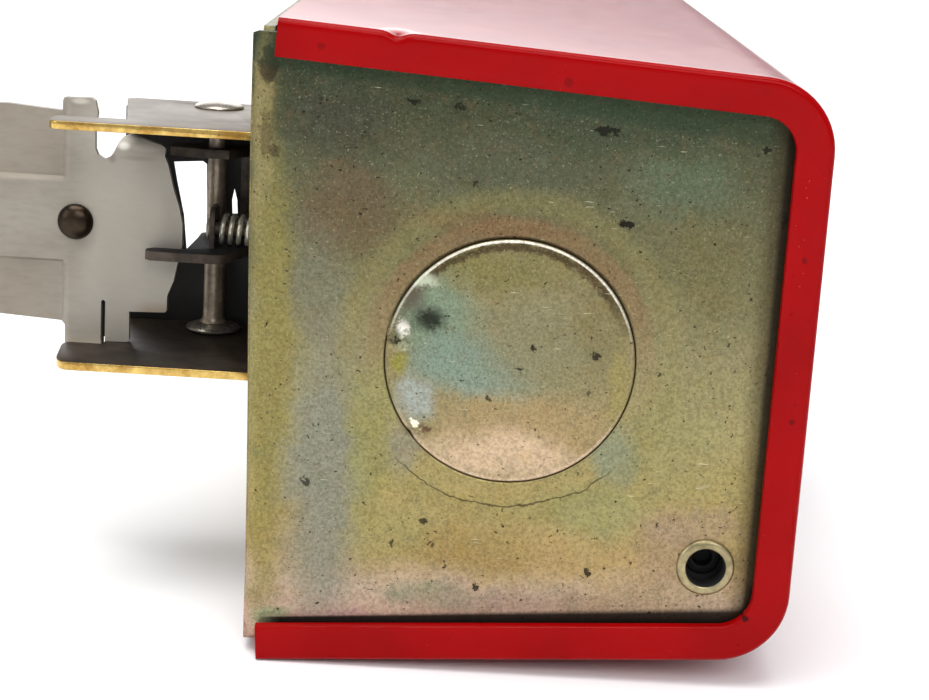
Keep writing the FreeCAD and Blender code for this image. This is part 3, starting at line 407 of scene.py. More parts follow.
def wornMetal(name, light, dark, rough=(0.3, 0.5), metallic=0.8, grain=0.5, brushed=(1, 1, 1),
              specks=0.5, bump=0.1):
    g = Graph(name)
    mottle = g.noise(grain * 6, 5, 0.6, seed=3)
    fine = g.noise(grain, 3, 0.6, brushed, seed=6)
    color = g.mix(g.span(mottle, 0.3, 0.72), tone(*light), tone(*dark))
    color = g.mix(g.span(fine, 0.35, 0.8, 0.0, 0.3), color, tone(*[c * 0.45 for c in dark]),
                  "MULTIPLY")
    pits = g.span(g.noise(grain * 0.9, 3, 0.6, seed=11), 0.7, 0.74)
    color = g.mix(g.math("MULTIPLY", pits, specks), color, tone(*[c * 0.3 for c in dark]))
    roughness = g.span(mottle, 0.25, 0.8, rough[0], rough[1])
    normal = g.bump(fine, bump, 0.00012)
    return g.finish(color, roughness, metallic, normal)


def mouldedBlack(name, color=(30, 27, 25), rough=(0.35, 0.5)):
    g = Graph(name)
    swirl = g.noise(2.5, 4, seed=1)
    fine = g.noise(0.25, 2, seed=2)
    shade = g.mix(g.span(swirl, 0.3, 0.7), tone(*color), tone(*[c * 1.35 for c in color]))
    return g.finish(shade, g.span(swirl, 0.3, 0.7, rough[0], rough[1]), 0.0,
                    g.bump(fine, 0.12, 0.00008))


def armSteel():
    g = Graph("armSteel")
    x, _, z = g.axes()
    cloud = g.noise(7, 3, 0.5, seed=3)
    color = g.mix(g.span(cloud, 0.3, 0.7), tone(152, 145, 134), tone(142, 134, 121))
    inBand = g.math("MULTIPLY", g.span(z, 1.7, 2.5), g.span(z, 10.5, 9.7))
    outer = g.math("MULTIPLY", g.span(inBand, 1.0, 0.0), g.span(x, -21.0, -22.2))
    color = g.mix(g.math("MULTIPLY", outer, 0.6), color, tone(141, 131, 116))
    grain = g.noise(0.5, 3, 0.6, (0.3, 1, 1), seed=6)
    color = g.mix(g.span(grain, 0.4, 0.7, 0.0, 0.12), color, tone(120, 112, 100), "MULTIPLY")
    scuff = g.span(g.noise(1.4, 4, 0.6, seed=11), 0.68, 0.76)
    color = g.mix(g.math("MULTIPLY", scuff, 0.3), color, tone(104, 92, 80))
    # rub marks round the rivet and shade on the rolled corner
    far = g.away(x, z, (-19.3, 4.4))
    color = g.mix(g.span(far, 1.6, 0.5, 0.0, 0.45), color, tone(74, 58, 48))
    rolled = g.math("MULTIPLY", g.span(x, -14.4, -12.2), g.span(z, 10.5, 13.4))
    color = g.mix(g.math("MULTIPLY", rolled, 0.5), color, tone(112, 102, 92))
    # painted shade along the head's right edge
    edge = g.math("MULTIPLY", g.span(x, -12.2, -9.6), g.span(z, 12.0, 9.0))
    color = g.mix(g.math("MULTIPLY", edge, 0.3), color, tone(116, 104, 90))
    # painted light lifting the whole head
    head = g.math("MULTIPLY", g.span(x, -21.4, -18.0), 0.6)
    color = g.mix(head, color, tone(172, 166, 155))
    # painted highlight and painted light on the rolled ear, painted shadow under its flap and at its foot,
    # and a light spot at the head's top edge
    for spot, reach, tint, weight in (((-15.6, 13.8), (0.75, 0.5), (240, 236, 228), 0.7),
                                      ((-13.4, 13.7), (1.9, 0.5), (196, 188, 174), 0.6),
                                      ((-14.2, 12.7), (2.3, 0.35), (124, 114, 100), 0.4),
                                      ((-16.7, 12.6), (0.5, 0.7), (96, 84, 72), 0.4),
                                      ((-19.9, 18.0), (1.1, 0.4), (214, 208, 196), 0.6)):
        off = g.away(x, z, spot, reach)
        color = g.mix(g.span(off, 1.1, 0.3, 0.0, weight), color, tone(*tint))
    rust = g.math("MULTIPLY", g.span(z, -1.2, -2.8), g.span(x, -14.8, -12.5))
    color = g.mix(g.math("MULTIPLY", rust, 0.5), color, tone(128, 98, 62))
    return g.finish(color, g.span(cloud, 0.3, 0.7, 0.46, 0.56), 0.3,
                    g.bump(grain, 0.05, 0.0001))


def paintedCasting():
    g = Graph("handlePaint")
    cloud = g.noise(6, 3)
    color = g.mix(g.span(cloud, 0.3, 0.7), tone(226, 222, 208), tone(212, 206, 190))
    dirt = g.span(g.noise(0.6, 4, 0.62, seed=8), 0.68, 0.74)
    dirt = g.math("MULTIPLY", dirt, g.span(g.noise(5, 2, seed=10), 0.5, 0.62))
    color = g.mix(g.math("MULTIPLY", dirt, 0.7), color, tone(92, 84, 70))
    return g.finish(color, g.span(cloud, 0.2, 0.8, 0.2, 0.34), 0.0,
                    g.bump(g.noise(0.8, 2, 0.4), 0.06, 0.0003), Coat_Weight=0.35,
                    Coat_Roughness=0.1)


looks = {
    "red_enamel": redEnamel(),
    "zinc_plate": zincPlate(),
    "bracket_plate": wornMetal("bracketPlate", (114, 104, 90), (94, 82, 65), (0.42, 0.54), 0.5,
                               1.6, specks=0.3, bump=0.05),
    "latch_steel": wornMetal("latchSteel", (92, 80, 68), (56, 47, 40), (0.5, 0.62), 0.35),
    "pin_steel": wornMetal("pinSteel", (186, 170, 150), (132, 120, 104), (0.32, 0.46), 0.6),
    "spring_steel": wornMetal("springSteel", (244, 240, 226), (216, 208, 186), (0.16, 0.26), 0.6,
                              0.4, specks=0.2),
    "arm_steel": armSteel(),
    "bright_steel": wornMetal("brightSteel", (184, 182, 176), (148, 145, 138), (0.22, 0.36), 0.9,
                              0.3),
    "handle_paint": paintedCasting(),
    "trim_metal": wornMetal("trimMetal", (196, 195, 190), (168, 166, 160), (0.26, 0.38), 0.85,
                            0.25, (0.06, 0.06, 1)),
    # black moulding, also used for the back card, which stands for painted shade behind the latch
    "phenolic": mouldedBlack("phenolic", (15, 13, 12), (0.45, 0.6)),
    "contact_brass": wornMetal("contactBrass", (190, 158, 92), (150, 120, 62), (0.24, 0.4), 0.85,
                               0.35),
    "contact_silver": wornMetal("contactSilver", (210, 208, 202), (176, 172, 164), (0.2, 0.34),
                                0.95, 0.3),
    "ground_green": wornMetal("groundGreen", (40, 112, 58), (28, 84, 42), (0.2, 0.34), 0.2, 0.5),
}
cutEdge = wornMetal("cutEdge", (238, 206, 124), (172, 128, 56), (0.18, 0.32), 0.9, 0.5,
                    specks=0.8)
# a shaded copy of the bracket's plate: painted shade
shadedPlate = wornMetal("shadedPlate", (66, 52, 38), (36, 28, 20), (0.45, 0.6), 0.4, 0.8)
rivetDark = wornMetal("rivetDark", (62, 50, 38), (26, 20, 15), (0.26, 0.38), 0.85, 0.5)
pinHead = wornMetal("pinHead", (178, 170, 156), (144, 136, 122), (0.22, 0.34), 0.8, 0.6,
                    specks=0.3)
eyeletMetal = wornMetal("eyeletMetal", (186, 172, 132), (132, 122, 88), (0.26, 0.42), 0.8, 0.4,
                        specks=0.7)
# near-black that stands for painted shade in bores, slots and parts deep inside the box
shadeBlack = mouldedBlack("shadeBlack", (10, 9, 8), (0.7, 0.8))
zincPlain = zincPlate("zincPlain", False)
print("materials ready:", len(bpy.data.materials))


# ---------- mesh helpers ----------

def newObject(name, mesh):
    piece = bpy.data.objects.new(name, mesh)
    bpy.context.scene.collection.objects.link(piece)
    return piece


def meshPiece(name, points, faces):
    mesh = bpy.data.meshes.new(name)
    mesh.from_pydata([tuple(c * mm for c in p) for p in points], [], faces)
    mesh.validate()
    mesh.update()
    return newObject(name, mesh)


def applied(piece):
    # turns the piece and its modifiers into one plain mesh
    bpy.context.view_layer.update()
    graph = bpy.context.evaluated_depsgraph_get()
    mesh = bpy.data.meshes.new_from_object(piece.evaluated_get(graph))
    piece.modifiers.clear()
    old = piece.data
    piece.data = mesh
    if old.users == 0:
        bpy.data.meshes.remove(old)
    return piece


def bevelled(piece, width, segments=2, angle=40):
    edge = piece.modifiers.new("edge", "BEVEL")
    edge.width = width * mm
    edge.segments = segments
    edge.limit_method = "ANGLE"
    edge.angle_limit = math.radians(angle)
    edge.use_clamp_overlap = True
    edge.miter_outer = "MITER_ARC"
    return applied(piece)


def smooth(piece, angle=32):
    for face in piece.data.polygons:
        face.use_smooth = True
    piece.data.set_sharp_from_angle(angle=math.radians(angle))
    return piece


def tidied(piece):
    bm = bmesh.new()
    bm.from_mesh(piece.data)
    bmesh.ops.remove_doubles(bm, verts=bm.verts, dist=1e-6)
    bmesh.ops.recalc_face_normals(bm, faces=bm.faces)
    bm.to_mesh(piece.data)
    bm.free()
    return piece


def cadCopy(node, name):
    # a merged copy of a part's mesh with its flat faces joined up
    source = nodes[node]
    mesh = source.data.copy()
    mesh.materials.clear()
    piece = newObject(name, mesh)
    bm = bmesh.new()
    bm.from_mesh(mesh)
    for layer in list(bm.loops.layers.uv):
        bm.loops.layers.uv.remove(layer)
    bmesh.ops.remove_doubles(bm, verts=bm.verts, dist=2e-6)
    bmesh.ops.dissolve_limit(bm, angle_limit=math.radians(0.6), verts=bm.verts, edges=bm.edges)
    bm.to_mesh(mesh)
    bm.free()
    return piece


def finished(piece, replaced, material=None):
    first = replaced[0]
    if material is None:
        material = looks[slotOf[first]]
    if not piece.data.materials:
        piece.data.materials.append(material)
    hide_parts(*replaced)
    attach(piece, bodyOf[first])
    return piece


def softCopy(node, name, width, segments=2):
    piece = bevelled(cadCopy(node, name), width, segments)
    smooth(piece)
    return finished(piece, [node])


def lathe(name, at, axis, profile, steps=64):
    # radius and height pairs turned about an axis that starts at a point
    turn = Vector((0, 0, 1)).rotation_difference(Vector(axis)).to_matrix()
    points, rings = [], []
    for radius, height in profile:
        if radius < 1e-6:
            rings.append([len(points)])
            points.append(Vector(at) + turn @ Vector((0, 0, height)))
            continue
        ring = []
        for i in range(steps):
            a = 2 * math.pi * i / steps
            ring.append(len(points))
            points.append(Vector(at) + turn @ Vector((radius * math.cos(a),
                                                      radius * math.sin(a), height)))
        rings.append(ring)
    faces = []
    pairs = list(zip(rings, rings[1:]))
    if len(rings[0]) > 1 and len(rings[-1]) > 1:
        pairs.append((rings[-1], rings[0]))  # a ring shape closes on itself
    for low, high in pairs:
        for i in range(steps):
            j = (i + 1) % steps
            if len(low) == 1:
                faces.append((low[0], high[j], high[i]))
            elif len(high) == 1:
                faces.append((low[i], low[j], high[0]))
            else:
                faces.append((low[i], low[j], high[j], high[i]))
    piece = meshPiece(name, [tuple(p) for p in points], faces)
    tidied(piece)
    return smooth(piece, 38)


def prism(name, outline, low, high, axis="Y"):
    # an outline in the plane across the axis, made solid between low and high
    count = len(outline)
    place = {"X": lambda u, v, d: (d, u, v), "Y": lambda u, v, d: (u, d, v),
             "Z": lambda u, v, d: (u, v, d)}[axis]
    points = [place(u, v, low) for u, v in outline] + [place(u, v, high) for u, v in outline]
    faces = [tuple(range(count)), tuple(range(2 * count - 1, count - 1, -1))]
    faces += [(i, (i + 1) % count, count + (i + 1) % count, count + i) for i in range(count)]
    return tidied(meshPiece(name, points, faces))


def carve(piece, tool, operation="DIFFERENCE"):
    cut = piece.modifiers.new("cut", "BOOLEAN")
    cut.operation = operation
    cut.solver = "EXACT"
    cut.object = tool
    applied(piece)
    mesh = tool.data
    bpy.data.objects.remove(tool)
    bpy.data.meshes.remove(mesh)
    return piece


def joined(name, parts):
    bm = bmesh.new()
    for part in parts:
        bm.from_mesh(part.data)
    mesh = bpy.data.meshes.new(name)
    bm.to_mesh(mesh)
    bm.free()
    for part in parts:
        old = part.data
        bpy.data.objects.remove(part)
        bpy.data.meshes.remove(old)
    return newObject(name, mesh)


def ringFaces(base, rings, steps):
    # squares between neighbouring rings of points, counted from base
    faces = []
    for k in range(rings - 1):
        for i in range(steps):
            j = (i + 1) % steps
            faces.append((base + k * steps + i, base + k * steps + j,
                          base + (k + 1) * steps + j, base + (k + 1) * steps + i))
    return faces


def wallFaces(k, rings, steps):
    # squares from ring k of one layer to ring k of the next
    return [(k * steps + i, k * steps + (i + 1) % steps, (rings + k) * steps + (i + 1) % steps,
             (rings + k) * steps + i) for i in range(steps)]


def arcPoints(cx, cy, radius, start, end, steps):
    return [(cx + radius * math.cos(math.radians(start + (end - start) * i / steps)),
             cy + radius * math.sin(math.radians(start + (end - start) * i / steps)))
            for i in range(steps + 1)]


def ease(value, low, high):
    t = min(1.0, max(0.0, (value - low) / (high - low)))
    return t * t * (3 - 2 * t)


# ---------- red cover ----------

cover = {
    "back": 1.5, "front": 49.7, "rearHalf": 29.2, "frontHalf": 26.25, "halfLength": 60.0,
    "corner": 6.5, "lip": 3.35, "wall": 1.0, "bend": 0.55, "rim": 0.16,
    "window": (-18.6, 18.6, -2.6, 19.1), "windowCorner": 2.0,
    "dimple": (11.7, -59.9, 0.8, 0.45),
}


def coverOutline():
    # points and outward directions round the end of the cover, from the back's top edge
    c = cover
    slope = math.atan2(c["rearHalf"] - c["frontHalf"], c["front"] - c["back"])
    up = Vector((math.sin(slope), math.cos(slope)))
    # middle of the corner arc, a radius in from the sloping top and the front
    cx = c["front"] - c["corner"]
    edgeZ = c["rearHalf"] - math.tan(slope) * (cx - c["back"])
    cz = edgeZ - c["corner"] / math.cos(slope)
    first = Vector((cx, cz)) + up * c["corner"]
    stations = []
    start = Vector((c["back"], c["rearHalf"]))
    marks = [0, 0.1, 0.3, 0.6] + [1.2 + i for i in range(7)] + [8.4 + 0.25 * i for i in range(14)]
    marks += [12.4 + i * 1.6 for i in range(20)]
    run = (first - start).length
    for m in [m for m in marks if m < run - 0.4] + [run]:
        stations.append((start + (first - start) * (m / run), up))
    topAngle = math.pi / 2 - slope
    for i in range(1, 15):
        a = topAngle * (1 - i / 14)
        out = Vector((math.cos(a), math.sin(a)))
        stations.append((Vector((cx, cz)) + out * c["corner"], out))
    for i in range(1, 13):
        stations.append((Vector((c["front"], cz * (1 - i / 12))), Vector((1, 0))))
    mirror = [(Vector((p.x, -p.y)), Vector((d.x, -d.y))) for p, d in stations[:-1]]
    return stations + mirror[::-1]


def makeCover():
    c = cover
    half, bend, wall, lip = c["halfLength"], c["bend"], c["wall"], c["lip"]
    rim = c["rim"]
    # one closed loop of depth under the outside and place along the box
    near = [(lip, -half + rim)] + [(lip - rim + rim * math.cos(math.radians(a)),
                                   -half + rim - rim * math.sin(math.radians(a)))
                                  for a in (30, 60, 90)]
    near += [(2.4, -half), (1.4, -half), (0.9, -half)]
    near += [(bend - bend * math.sin(math.radians(a)), -half + bend - bend * math.cos(math.radians(a)))
             for a in range(0, 91, 10)]
    near += [(0, -half + v) for v in (0.75, 0.95, 1.2, 1.5, 1.9, 2.5, 3.2, 4.2, 6.0, 10.0, 18.0)]
    outer = near + [(0, y) for y in range(-36, 37, 8)] + [(d, -y) for d, y in near[::-1]]
    fold = wall + 0.15
    inner = [(lip, half - wall), (fold, half - wall), (wall, half - fold), (wall, -half + fold),
             (fold, -half + wall), (lip, -half + wall)]
    loop = outer + inner
    stations = coverOutline()
    points, faces = [], []
    dimX, dimY, dimR, dimDeep = c["dimple"]
    for spot, out in stations:
        for depth, y in loop:
            p = spot - out * depth
            if out.y > 0.5 and depth < 0.95:
                away = math.hypot(p.x - dimX, (y - dimY) * 0.6)
                p = p - out * dimDeep * math.exp(-(away / dimR) ** 2)
            points.append((p.x, y, p.y))
    size = len(loop)
    for s in range(len(stations) - 1):
        for i in range(size):
            j = (i + 1) % size
            faces.append((s * size + i, s * size + j, (s + 1) * size + j, (s + 1) * size + i))
    last = (len(stations) - 1) * size
    faces.append(tuple(range(size)))
    faces.append(tuple(range(last + size - 1, last - 1, -1)))
    shell = tidied(meshPiece("coverShell", points, faces))
    y0, y1, z0, z1 = c["window"]
    r = c["windowCorner"]
    outline = (arcPoints(y1 - r, z1 - r, r, 0, 90, 8) + arcPoints(y0 + r, z1 - r, r, 90, 180, 8)
               + arcPoints(y0 + r, z0 + r, r, 180, 270, 8)
               + arcPoints(y1 - r, z0 + r, r, 270, 360, 8))
    carve(shell, prism("windowTool", outline, c["front"] - 3, c["front"] + 3, "X"))
    smooth(shell, 30)
    return finished(shell, ["cover_shell"])


makeCover()
print("cover made")


# ---------- plated chassis ----------

chassis = {
    "halfLength": 58.5, "wall": 1.0, "slug": (23.0, 0.0, 11.1), "slit": 0.11, "bend": 1.3,
    "slugLift": 0.34, "keySpot": (41.96, -18.1), "keyHole": 2.23,
    # x, z, radius and depth of each pressed mark, inwards is positive
    "dents": [(13.4, 2.1, 1.2, 1.0), (14.7, 4.6, 1.0, 0.3), (12.6, 0.2, 0.9, -0.24),
              (14.5, -7.0, 0.5, 0.5), (15.4, -6.4, 0.8, -0.16)],
    "flare": 0.85,  # how far the near plate's top back corner is pushed outwards
}


def plateEdge():
    # the end plate's outline with its two rounded front corners
    half = [(0.0, 26.7), (2.2, 27.91), (12.0, 27.33), (22.0, 26.75), (32.0, 26.15)]
    half += arcPoints(41.7, 19.3, 5.8, 86, 0, 10)
    full = half + [(47.5, 12), (47.5, 4)]
    return full + [(x, -z) for x, z in full[::-1]]


def edgeReach(angle, outline, cx, cz):
    # how far the outline is from the slug's middle in one direction
    d = Vector((math.cos(angle), math.sin(angle)))
    best = 1e9
    for (x0, z0), (x1, z1) in zip(outline, outline[1:] + outline[:1]):
        e = Vector((x1 - x0, z1 - z0))
        o = Vector((x0 - cx, z0 - cz))
        det = d.x * -e.y + d.y * e.x
        if abs(det) < 1e-9:
            continue
        t = (o.x * -e.y + o.y * e.x) / det
        k = (d.x * o.y - d.y * o.x) / det
        if t > 0 and -1e-6 <= k <= 1 + 1e-6:
            best = min(best, t)
    return best


def plateShape(x, z, side):
    # how far the plate's face stands back from flat at a point, inwards is positive
    c = chassis
    back = 0.0
    if side < 0:
        for dx, dz, radius, deep in c["dents"]:
            back += deep * math.exp(-(((x - dx) ** 2 + (z - dz) ** 2) / radius ** 2))
    return back


def endPlate(side):
    c = chassis
    cx, cz, radius = c["slug"]
    outline = plateEdge()
    steps = 360 if side < 0 else 128
    angles = [2 * math.pi * i / steps for i in range(steps)]
    face = c["halfLength"] * side
    inward = -side
    parts = []

    def bendBack(x):
        if x >= c["bend"]:
            return 0.0
        return c["bend"] - math.sqrt(max(0.0, c["bend"] ** 2 - (c["bend"] - x) ** 2))

    # the plate round the slug
    ringMarks = [0.0, 0.004, 0.012, 0.024, 0.04, 0.065, 0.1, 0.15, 0.22, 0.3, 0.4, 0.5, 0.6,
                 0.7, 0.8, 0.88, 0.94, 0.975, 1.0]
    points, faces = [], []
    for layer in (0, 1):
        for m in ringMarks:
            for a in angles:
                reach = edgeReach(a, outline, cx, cz)
                r = radius + c["slit"] + (reach - radius - c["slit"]) * m
                x, z = cx + r * math.cos(a), cz + r * math.sin(a)
                back = plateShape(x, z, side)
                if layer == 0:
                    edge = 0.1 * max(0.0, 1 - m / 0.012) ** 2
                    lift = -0.10 * math.exp(-((r - radius) / 1.1) ** 2)
                    back += edge + lift + bendBack(x)
                else:
                    back += c["wall"] + 0.001
                if side < 0 and x < 2.0:  # the corner is knocked out of true towards its top
                    share = 1 - x / 2.0
                    x -= c["flare"] * ease(z, -26, 26) * share
                    z += 1.15 * ease(z, 24.5, 26.6) * share
                points.append((x, face + inward * back, z))
    rings = len(ringMarks)
    for layer in (0, 1):
        faces += ringFaces(layer * rings * steps, rings, steps)
    for k in (0, rings - 1):
        faces += wallFaces(k, rings, steps)
    ring = tidied(meshPiece("ringPart", points, faces))
    if side < 0:
        kx, kz = c["keySpot"]
        hole = prism("keyTool", arcPoints(kx, kz, c["keyHole"], 0, 352.5, 47),
                     face - 1, face + 3, "Y")
        carve(ring, hole)
    parts.append(ring)
    # the slug, tipped a little out at its top
    slugRings = [0.03 + 0.97 * (i / 40) ** 0.8 for i in range(40)] + [0.985, 0.993, 0.998, 1.0]
    slugRings = sorted(set(slugRings))
    points, faces = [], []
    for layer in (0, 1):
        for m in slugRings:
            for a in angles:
                r = radius * m
                x, z = cx + r * math.cos(a), cz + r * math.sin(a)
                tip = c["slugLift"] * ease(z, -radius * 0.6, radius) if side < 0 else 0.0
                back = plateShape(x, z, side) - tip
                if layer == 0:
                    back += 0.16 * ease(m, 0.985, 1.0) ** 2 - 0.1 * ease(m, 0.9, 0.985)
                else:
                    back += c["wall"]
                points.append((x, face + inward * back, z))
    rings = len(slugRings)
    for layer in (0, 1):
        base = layer * rings * steps
        faces += ringFaces(base, rings, steps)
        faces.append(tuple(base + i for i in range(steps)))
    faces += wallFaces(rings - 1, rings, steps)
    parts.append(tidied(meshPiece("slugPart", points, faces)))
    # two uncut ties hold the slug
    for tx, tz, width in ((cx - radius, 2.6, 1.0), (cx - radius * 0.73, -radius * 0.73, 0.5)):
        back = plateShape(tx, tz, side)
        lo, hi = face + inward * (0.25 + back), face + inward * (0.95 + back)
        box = [(tx - 0.5, tz - width), (tx + 0.5, tz - width), (tx + 0.5, tz + width),
               (tx - 0.5, tz + width)]
        parts.append(prism("tiePart", box, min(lo, hi), max(lo, hi), "Y"))
    return parts


def makeChassis():
    base = cadCopy("chassis_frame", "basePart")
    bm = bmesh.new()
    bm.from_mesh(base.data)
    limit = (chassis["halfLength"] - chassis["wall"] - 0.02) * mm
    for side in (-1, 1):
        bmesh.ops.bisect_plane(bm, geom=bm.verts[:] + bm.edges[:] + bm.faces[:],
                               plane_co=(0, side * limit, 0), plane_no=(0, side, 0),
                               clear_outer=True)
    bmesh.ops.holes_fill(bm, edges=[e for e in bm.edges if e.is_boundary], sides=0)
    bmesh.ops.recalc_face_normals(bm, faces=bm.faces)
    bm.to_mesh(base.data)
    bm.free()
    parts = [base] + endPlate(-1) + endPlate(1)
    piece = joined("chassisFrame", parts)
    smooth(piece, 34)
    return finished(piece, ["chassis_frame"])


makeChassis()
print("chassis made")


# ---------- key eyelet and lock ----------

eyelet = {"at": (41.96, -58.5, -18.1), "bore": 1.75, "flange": 2.65, "shank": 2.2}


def makeEyelet():
    e = eyelet
    profile = [(e["bore"], -1.5), (e["shank"] + 0.35, -1.5), (e["shank"] + 0.4, -1.3),
               (e["shank"] + 0.4, -1.0), (e["shank"], -1.0), (e["shank"], 0.0),
               (e["flange"], 0.0), (e["flange"], 0.12), (e["flange"] - 0.05, 0.24),
               (e["flange"] - 0.16, 0.34), (e["flange"] - 0.32, 0.4), (e["flange"] - 0.55, 0.42),
               (e["bore"] + 0.22, 0.41), (e["bore"] + 0.1, 0.36), (e["bore"] + 0.02, 0.24),
               (e["bore"], 0.05)]
    piece = lathe("keyEyelet", e["at"], (0, -1, 0), profile, 96)
    piece.data.materials.append(eyeletMetal)
    piece.data.materials.append(shadeBlack)
    # the bore and the part behind the plate get the near-black as painted shade
    for face in piece.data.polygons:
        c = face.center / mm
        away = math.hypot(c.x - e["at"][0], c.z - e["at"][2])
        face.material_index = 1 if away < e["bore"] + 0.08 or c.y > -58.0 else 0
    return finished(piece, ["key_eyelet"])


makeEyelet()
boltGuide = softCopy("bolt_guide", "boltGuide", 0.15)
# the bolt guide and lock bolt are coloured near-black as painted shade inside the box
boltGuide.data.materials[0] = shadeBlack
lockBolt = softCopy("lock_bolt", "lockBolt", 0.12)
lockBolt.data.materials[0] = shadeBlack
print("eyelet and lock made")


# ---------- latch bracket, latch and pin ----------

bracket = {
    "stepNear": -14.41, "stepFar": -17.31,  # the upper ear's slanted step
    "lowFar": -36.95, "lowCorner": -21.22,  # the lower ear's longer tip
}


def makeBracket():
    b = bracket
    piece = cadCopy("arm_bracket", "armBracket")
    for vertex in piece.data.vertices:
        x, y, z = vertex.co / mm
        if z > 15.5 and abs(x + 17.2) < 0.05:
            share = (y + 41.0) / 16.4
            vertex.co.x = (b["stepNear"] + (b["stepFar"] - b["stepNear"]) * share) * mm
        if z < -5.5 and x < -17.0 and y < -40.9:
            share = (y + 45.0) / 4.0
            vertex.co.y = (-45.0 + (b["lowFar"] + 45.0) * share) * mm
            if x < -17.5:
                vertex.co.x = (x + (b["lowCorner"] + 20.4) * share) * mm
    bevelled(piece, 0.1, 2, 50)
    smooth(piece, 35)
    piece.data.materials.append(looks["bracket_plate"])
    piece.data.materials.append(cutEdge)
    piece.data.materials.append(shadedPlate)
    # all flat and bent faces but the upper ear's top get the shaded copy, painted shade; the thin edges
    # get the cut-edge finish
    for face in piece.data.polygons:
        n, c = face.normal, face.center
        flat = abs(n.z) > 0.8 or (abs(n.x) > 0.8 and c.x > -0.9 * mm)
        bend = c.x > -1.4 * mm and abs(n.y) < 0.3
        outside = n.z > 0.5 and c.z > 16.5 * mm
        face.material_index = (0 if outside else 2) if flat or bend else 1
    return finished(piece, ["arm_bracket"])


def makeCard():
    # the black card behind the latch stands for painted shade in the bracket's back
    piece = cadCopy("back_card", "backCard")
    for vertex in piece.data.vertices:
        x, y, z = vertex.co / mm
        if x < -16.0:
            vertex.co.x = -17.3 * mm
        elif -13.0 < x < -10.0:
            vertex.co.x += 0.33 * mm
    smooth(piece)
    return finished(piece, ["back_card"])


def makeYoke():
    piece = cadCopy("latch_yoke", "latchYoke")
    for vertex in piece.data.vertices:
        x, y, z = vertex.co / mm
        if z < 4.2 and x < -9.2 and y > -31.0:
            vertex.co.x = -8.95 * mm
    bevelled(piece, 0.14)
    smooth(piece)
    piece.data.materials.append(looks["latch_steel"])
    piece.data.materials.append(shadeBlack)
    # the lower plate's up-facing faces get the near-black as painted shade
    for face in piece.data.polygons:
        low = face.normal.z > 0.5 and face.center.z < 4.1 * mm and face.center.y > -34 * mm
        face.material_index = 1 if low else 0
    return finished(piece, ["latch_yoke"])


makeBracket()
makeCard()
makeYoke()
softCopy("spring_seat", "springSeat", 0.08)
pin = {"x": -7.3, "y": -28.5, "top": 17.2, "washer": -6.0, "spacer": -5.5}
pinProfile = [(0, -24.7), (1.3, -24.65), (1.75, -24.4), (1.9, -24.05), (1.9, -24.0),
              (0.95, -24.0), (0.95, 0.0), (2.42, 0.0), (2.5, 0.08), (2.46, 0.18), (2.3, 0.3),
              (2.0, 0.44), (1.6, 0.56), (1.1, 0.66), (0.6, 0.71), (0, 0.72)]


def makePin():
    piece = lathe("latchPin", (pin["x"], pin["y"], pin["top"]), (0, 0, 1), pinProfile)
    piece.data.materials.append(looks["pin_steel"])
    piece.data.materials.append(pinHead)
    for face in piece.data.polygons:
        face.material_index = 1 if face.center.z > pin["top"] * mm else 0
    return finished(piece, ["latch_pin"])


makePin()
washerProfile = [(1.01, 0.0), (2.3, 0.0), (2.62, 0.1), (2.78, 0.25), (2.8, 0.36), (2.7, 0.5),
                 (2.4, 0.66), (2.0, 0.8), (1.6, 0.9), (1.01, 0.95)]
finished(lathe("pinWasher", (pin["x"], pin["y"], pin["washer"]), (0, 0, 1), washerProfile), ["pin_washer"],
         pinHead)
spacerProfile = [(1.01, 0.46), (1.4, 0.46), (1.2, 0.7), (1.08, 1.1), (1.06, 8.3), (1.25, 8.46),
                 (1.01, 8.46)]
finished(lathe("pinSpacer", (pin["x"], pin["y"], pin["spacer"]), (0, 0, 1), spacerProfile),
         ["pin_spacer"])
print("bracket and latch made")


# ---------- coil spring ----------

spring = {"start": -1.42, "length": 4.88, "turns": 5.7, "radius": 1.38, "wire": 0.26,
          "y": -33.0, "z": 5.6,
          "seat": -1.17, "squeezed": 0.49}  # the still end, and the share left at full pull


def joinUp(tree, pairs):
    for source, target in pairs:
        tree.links.new(source, target)
    return tree


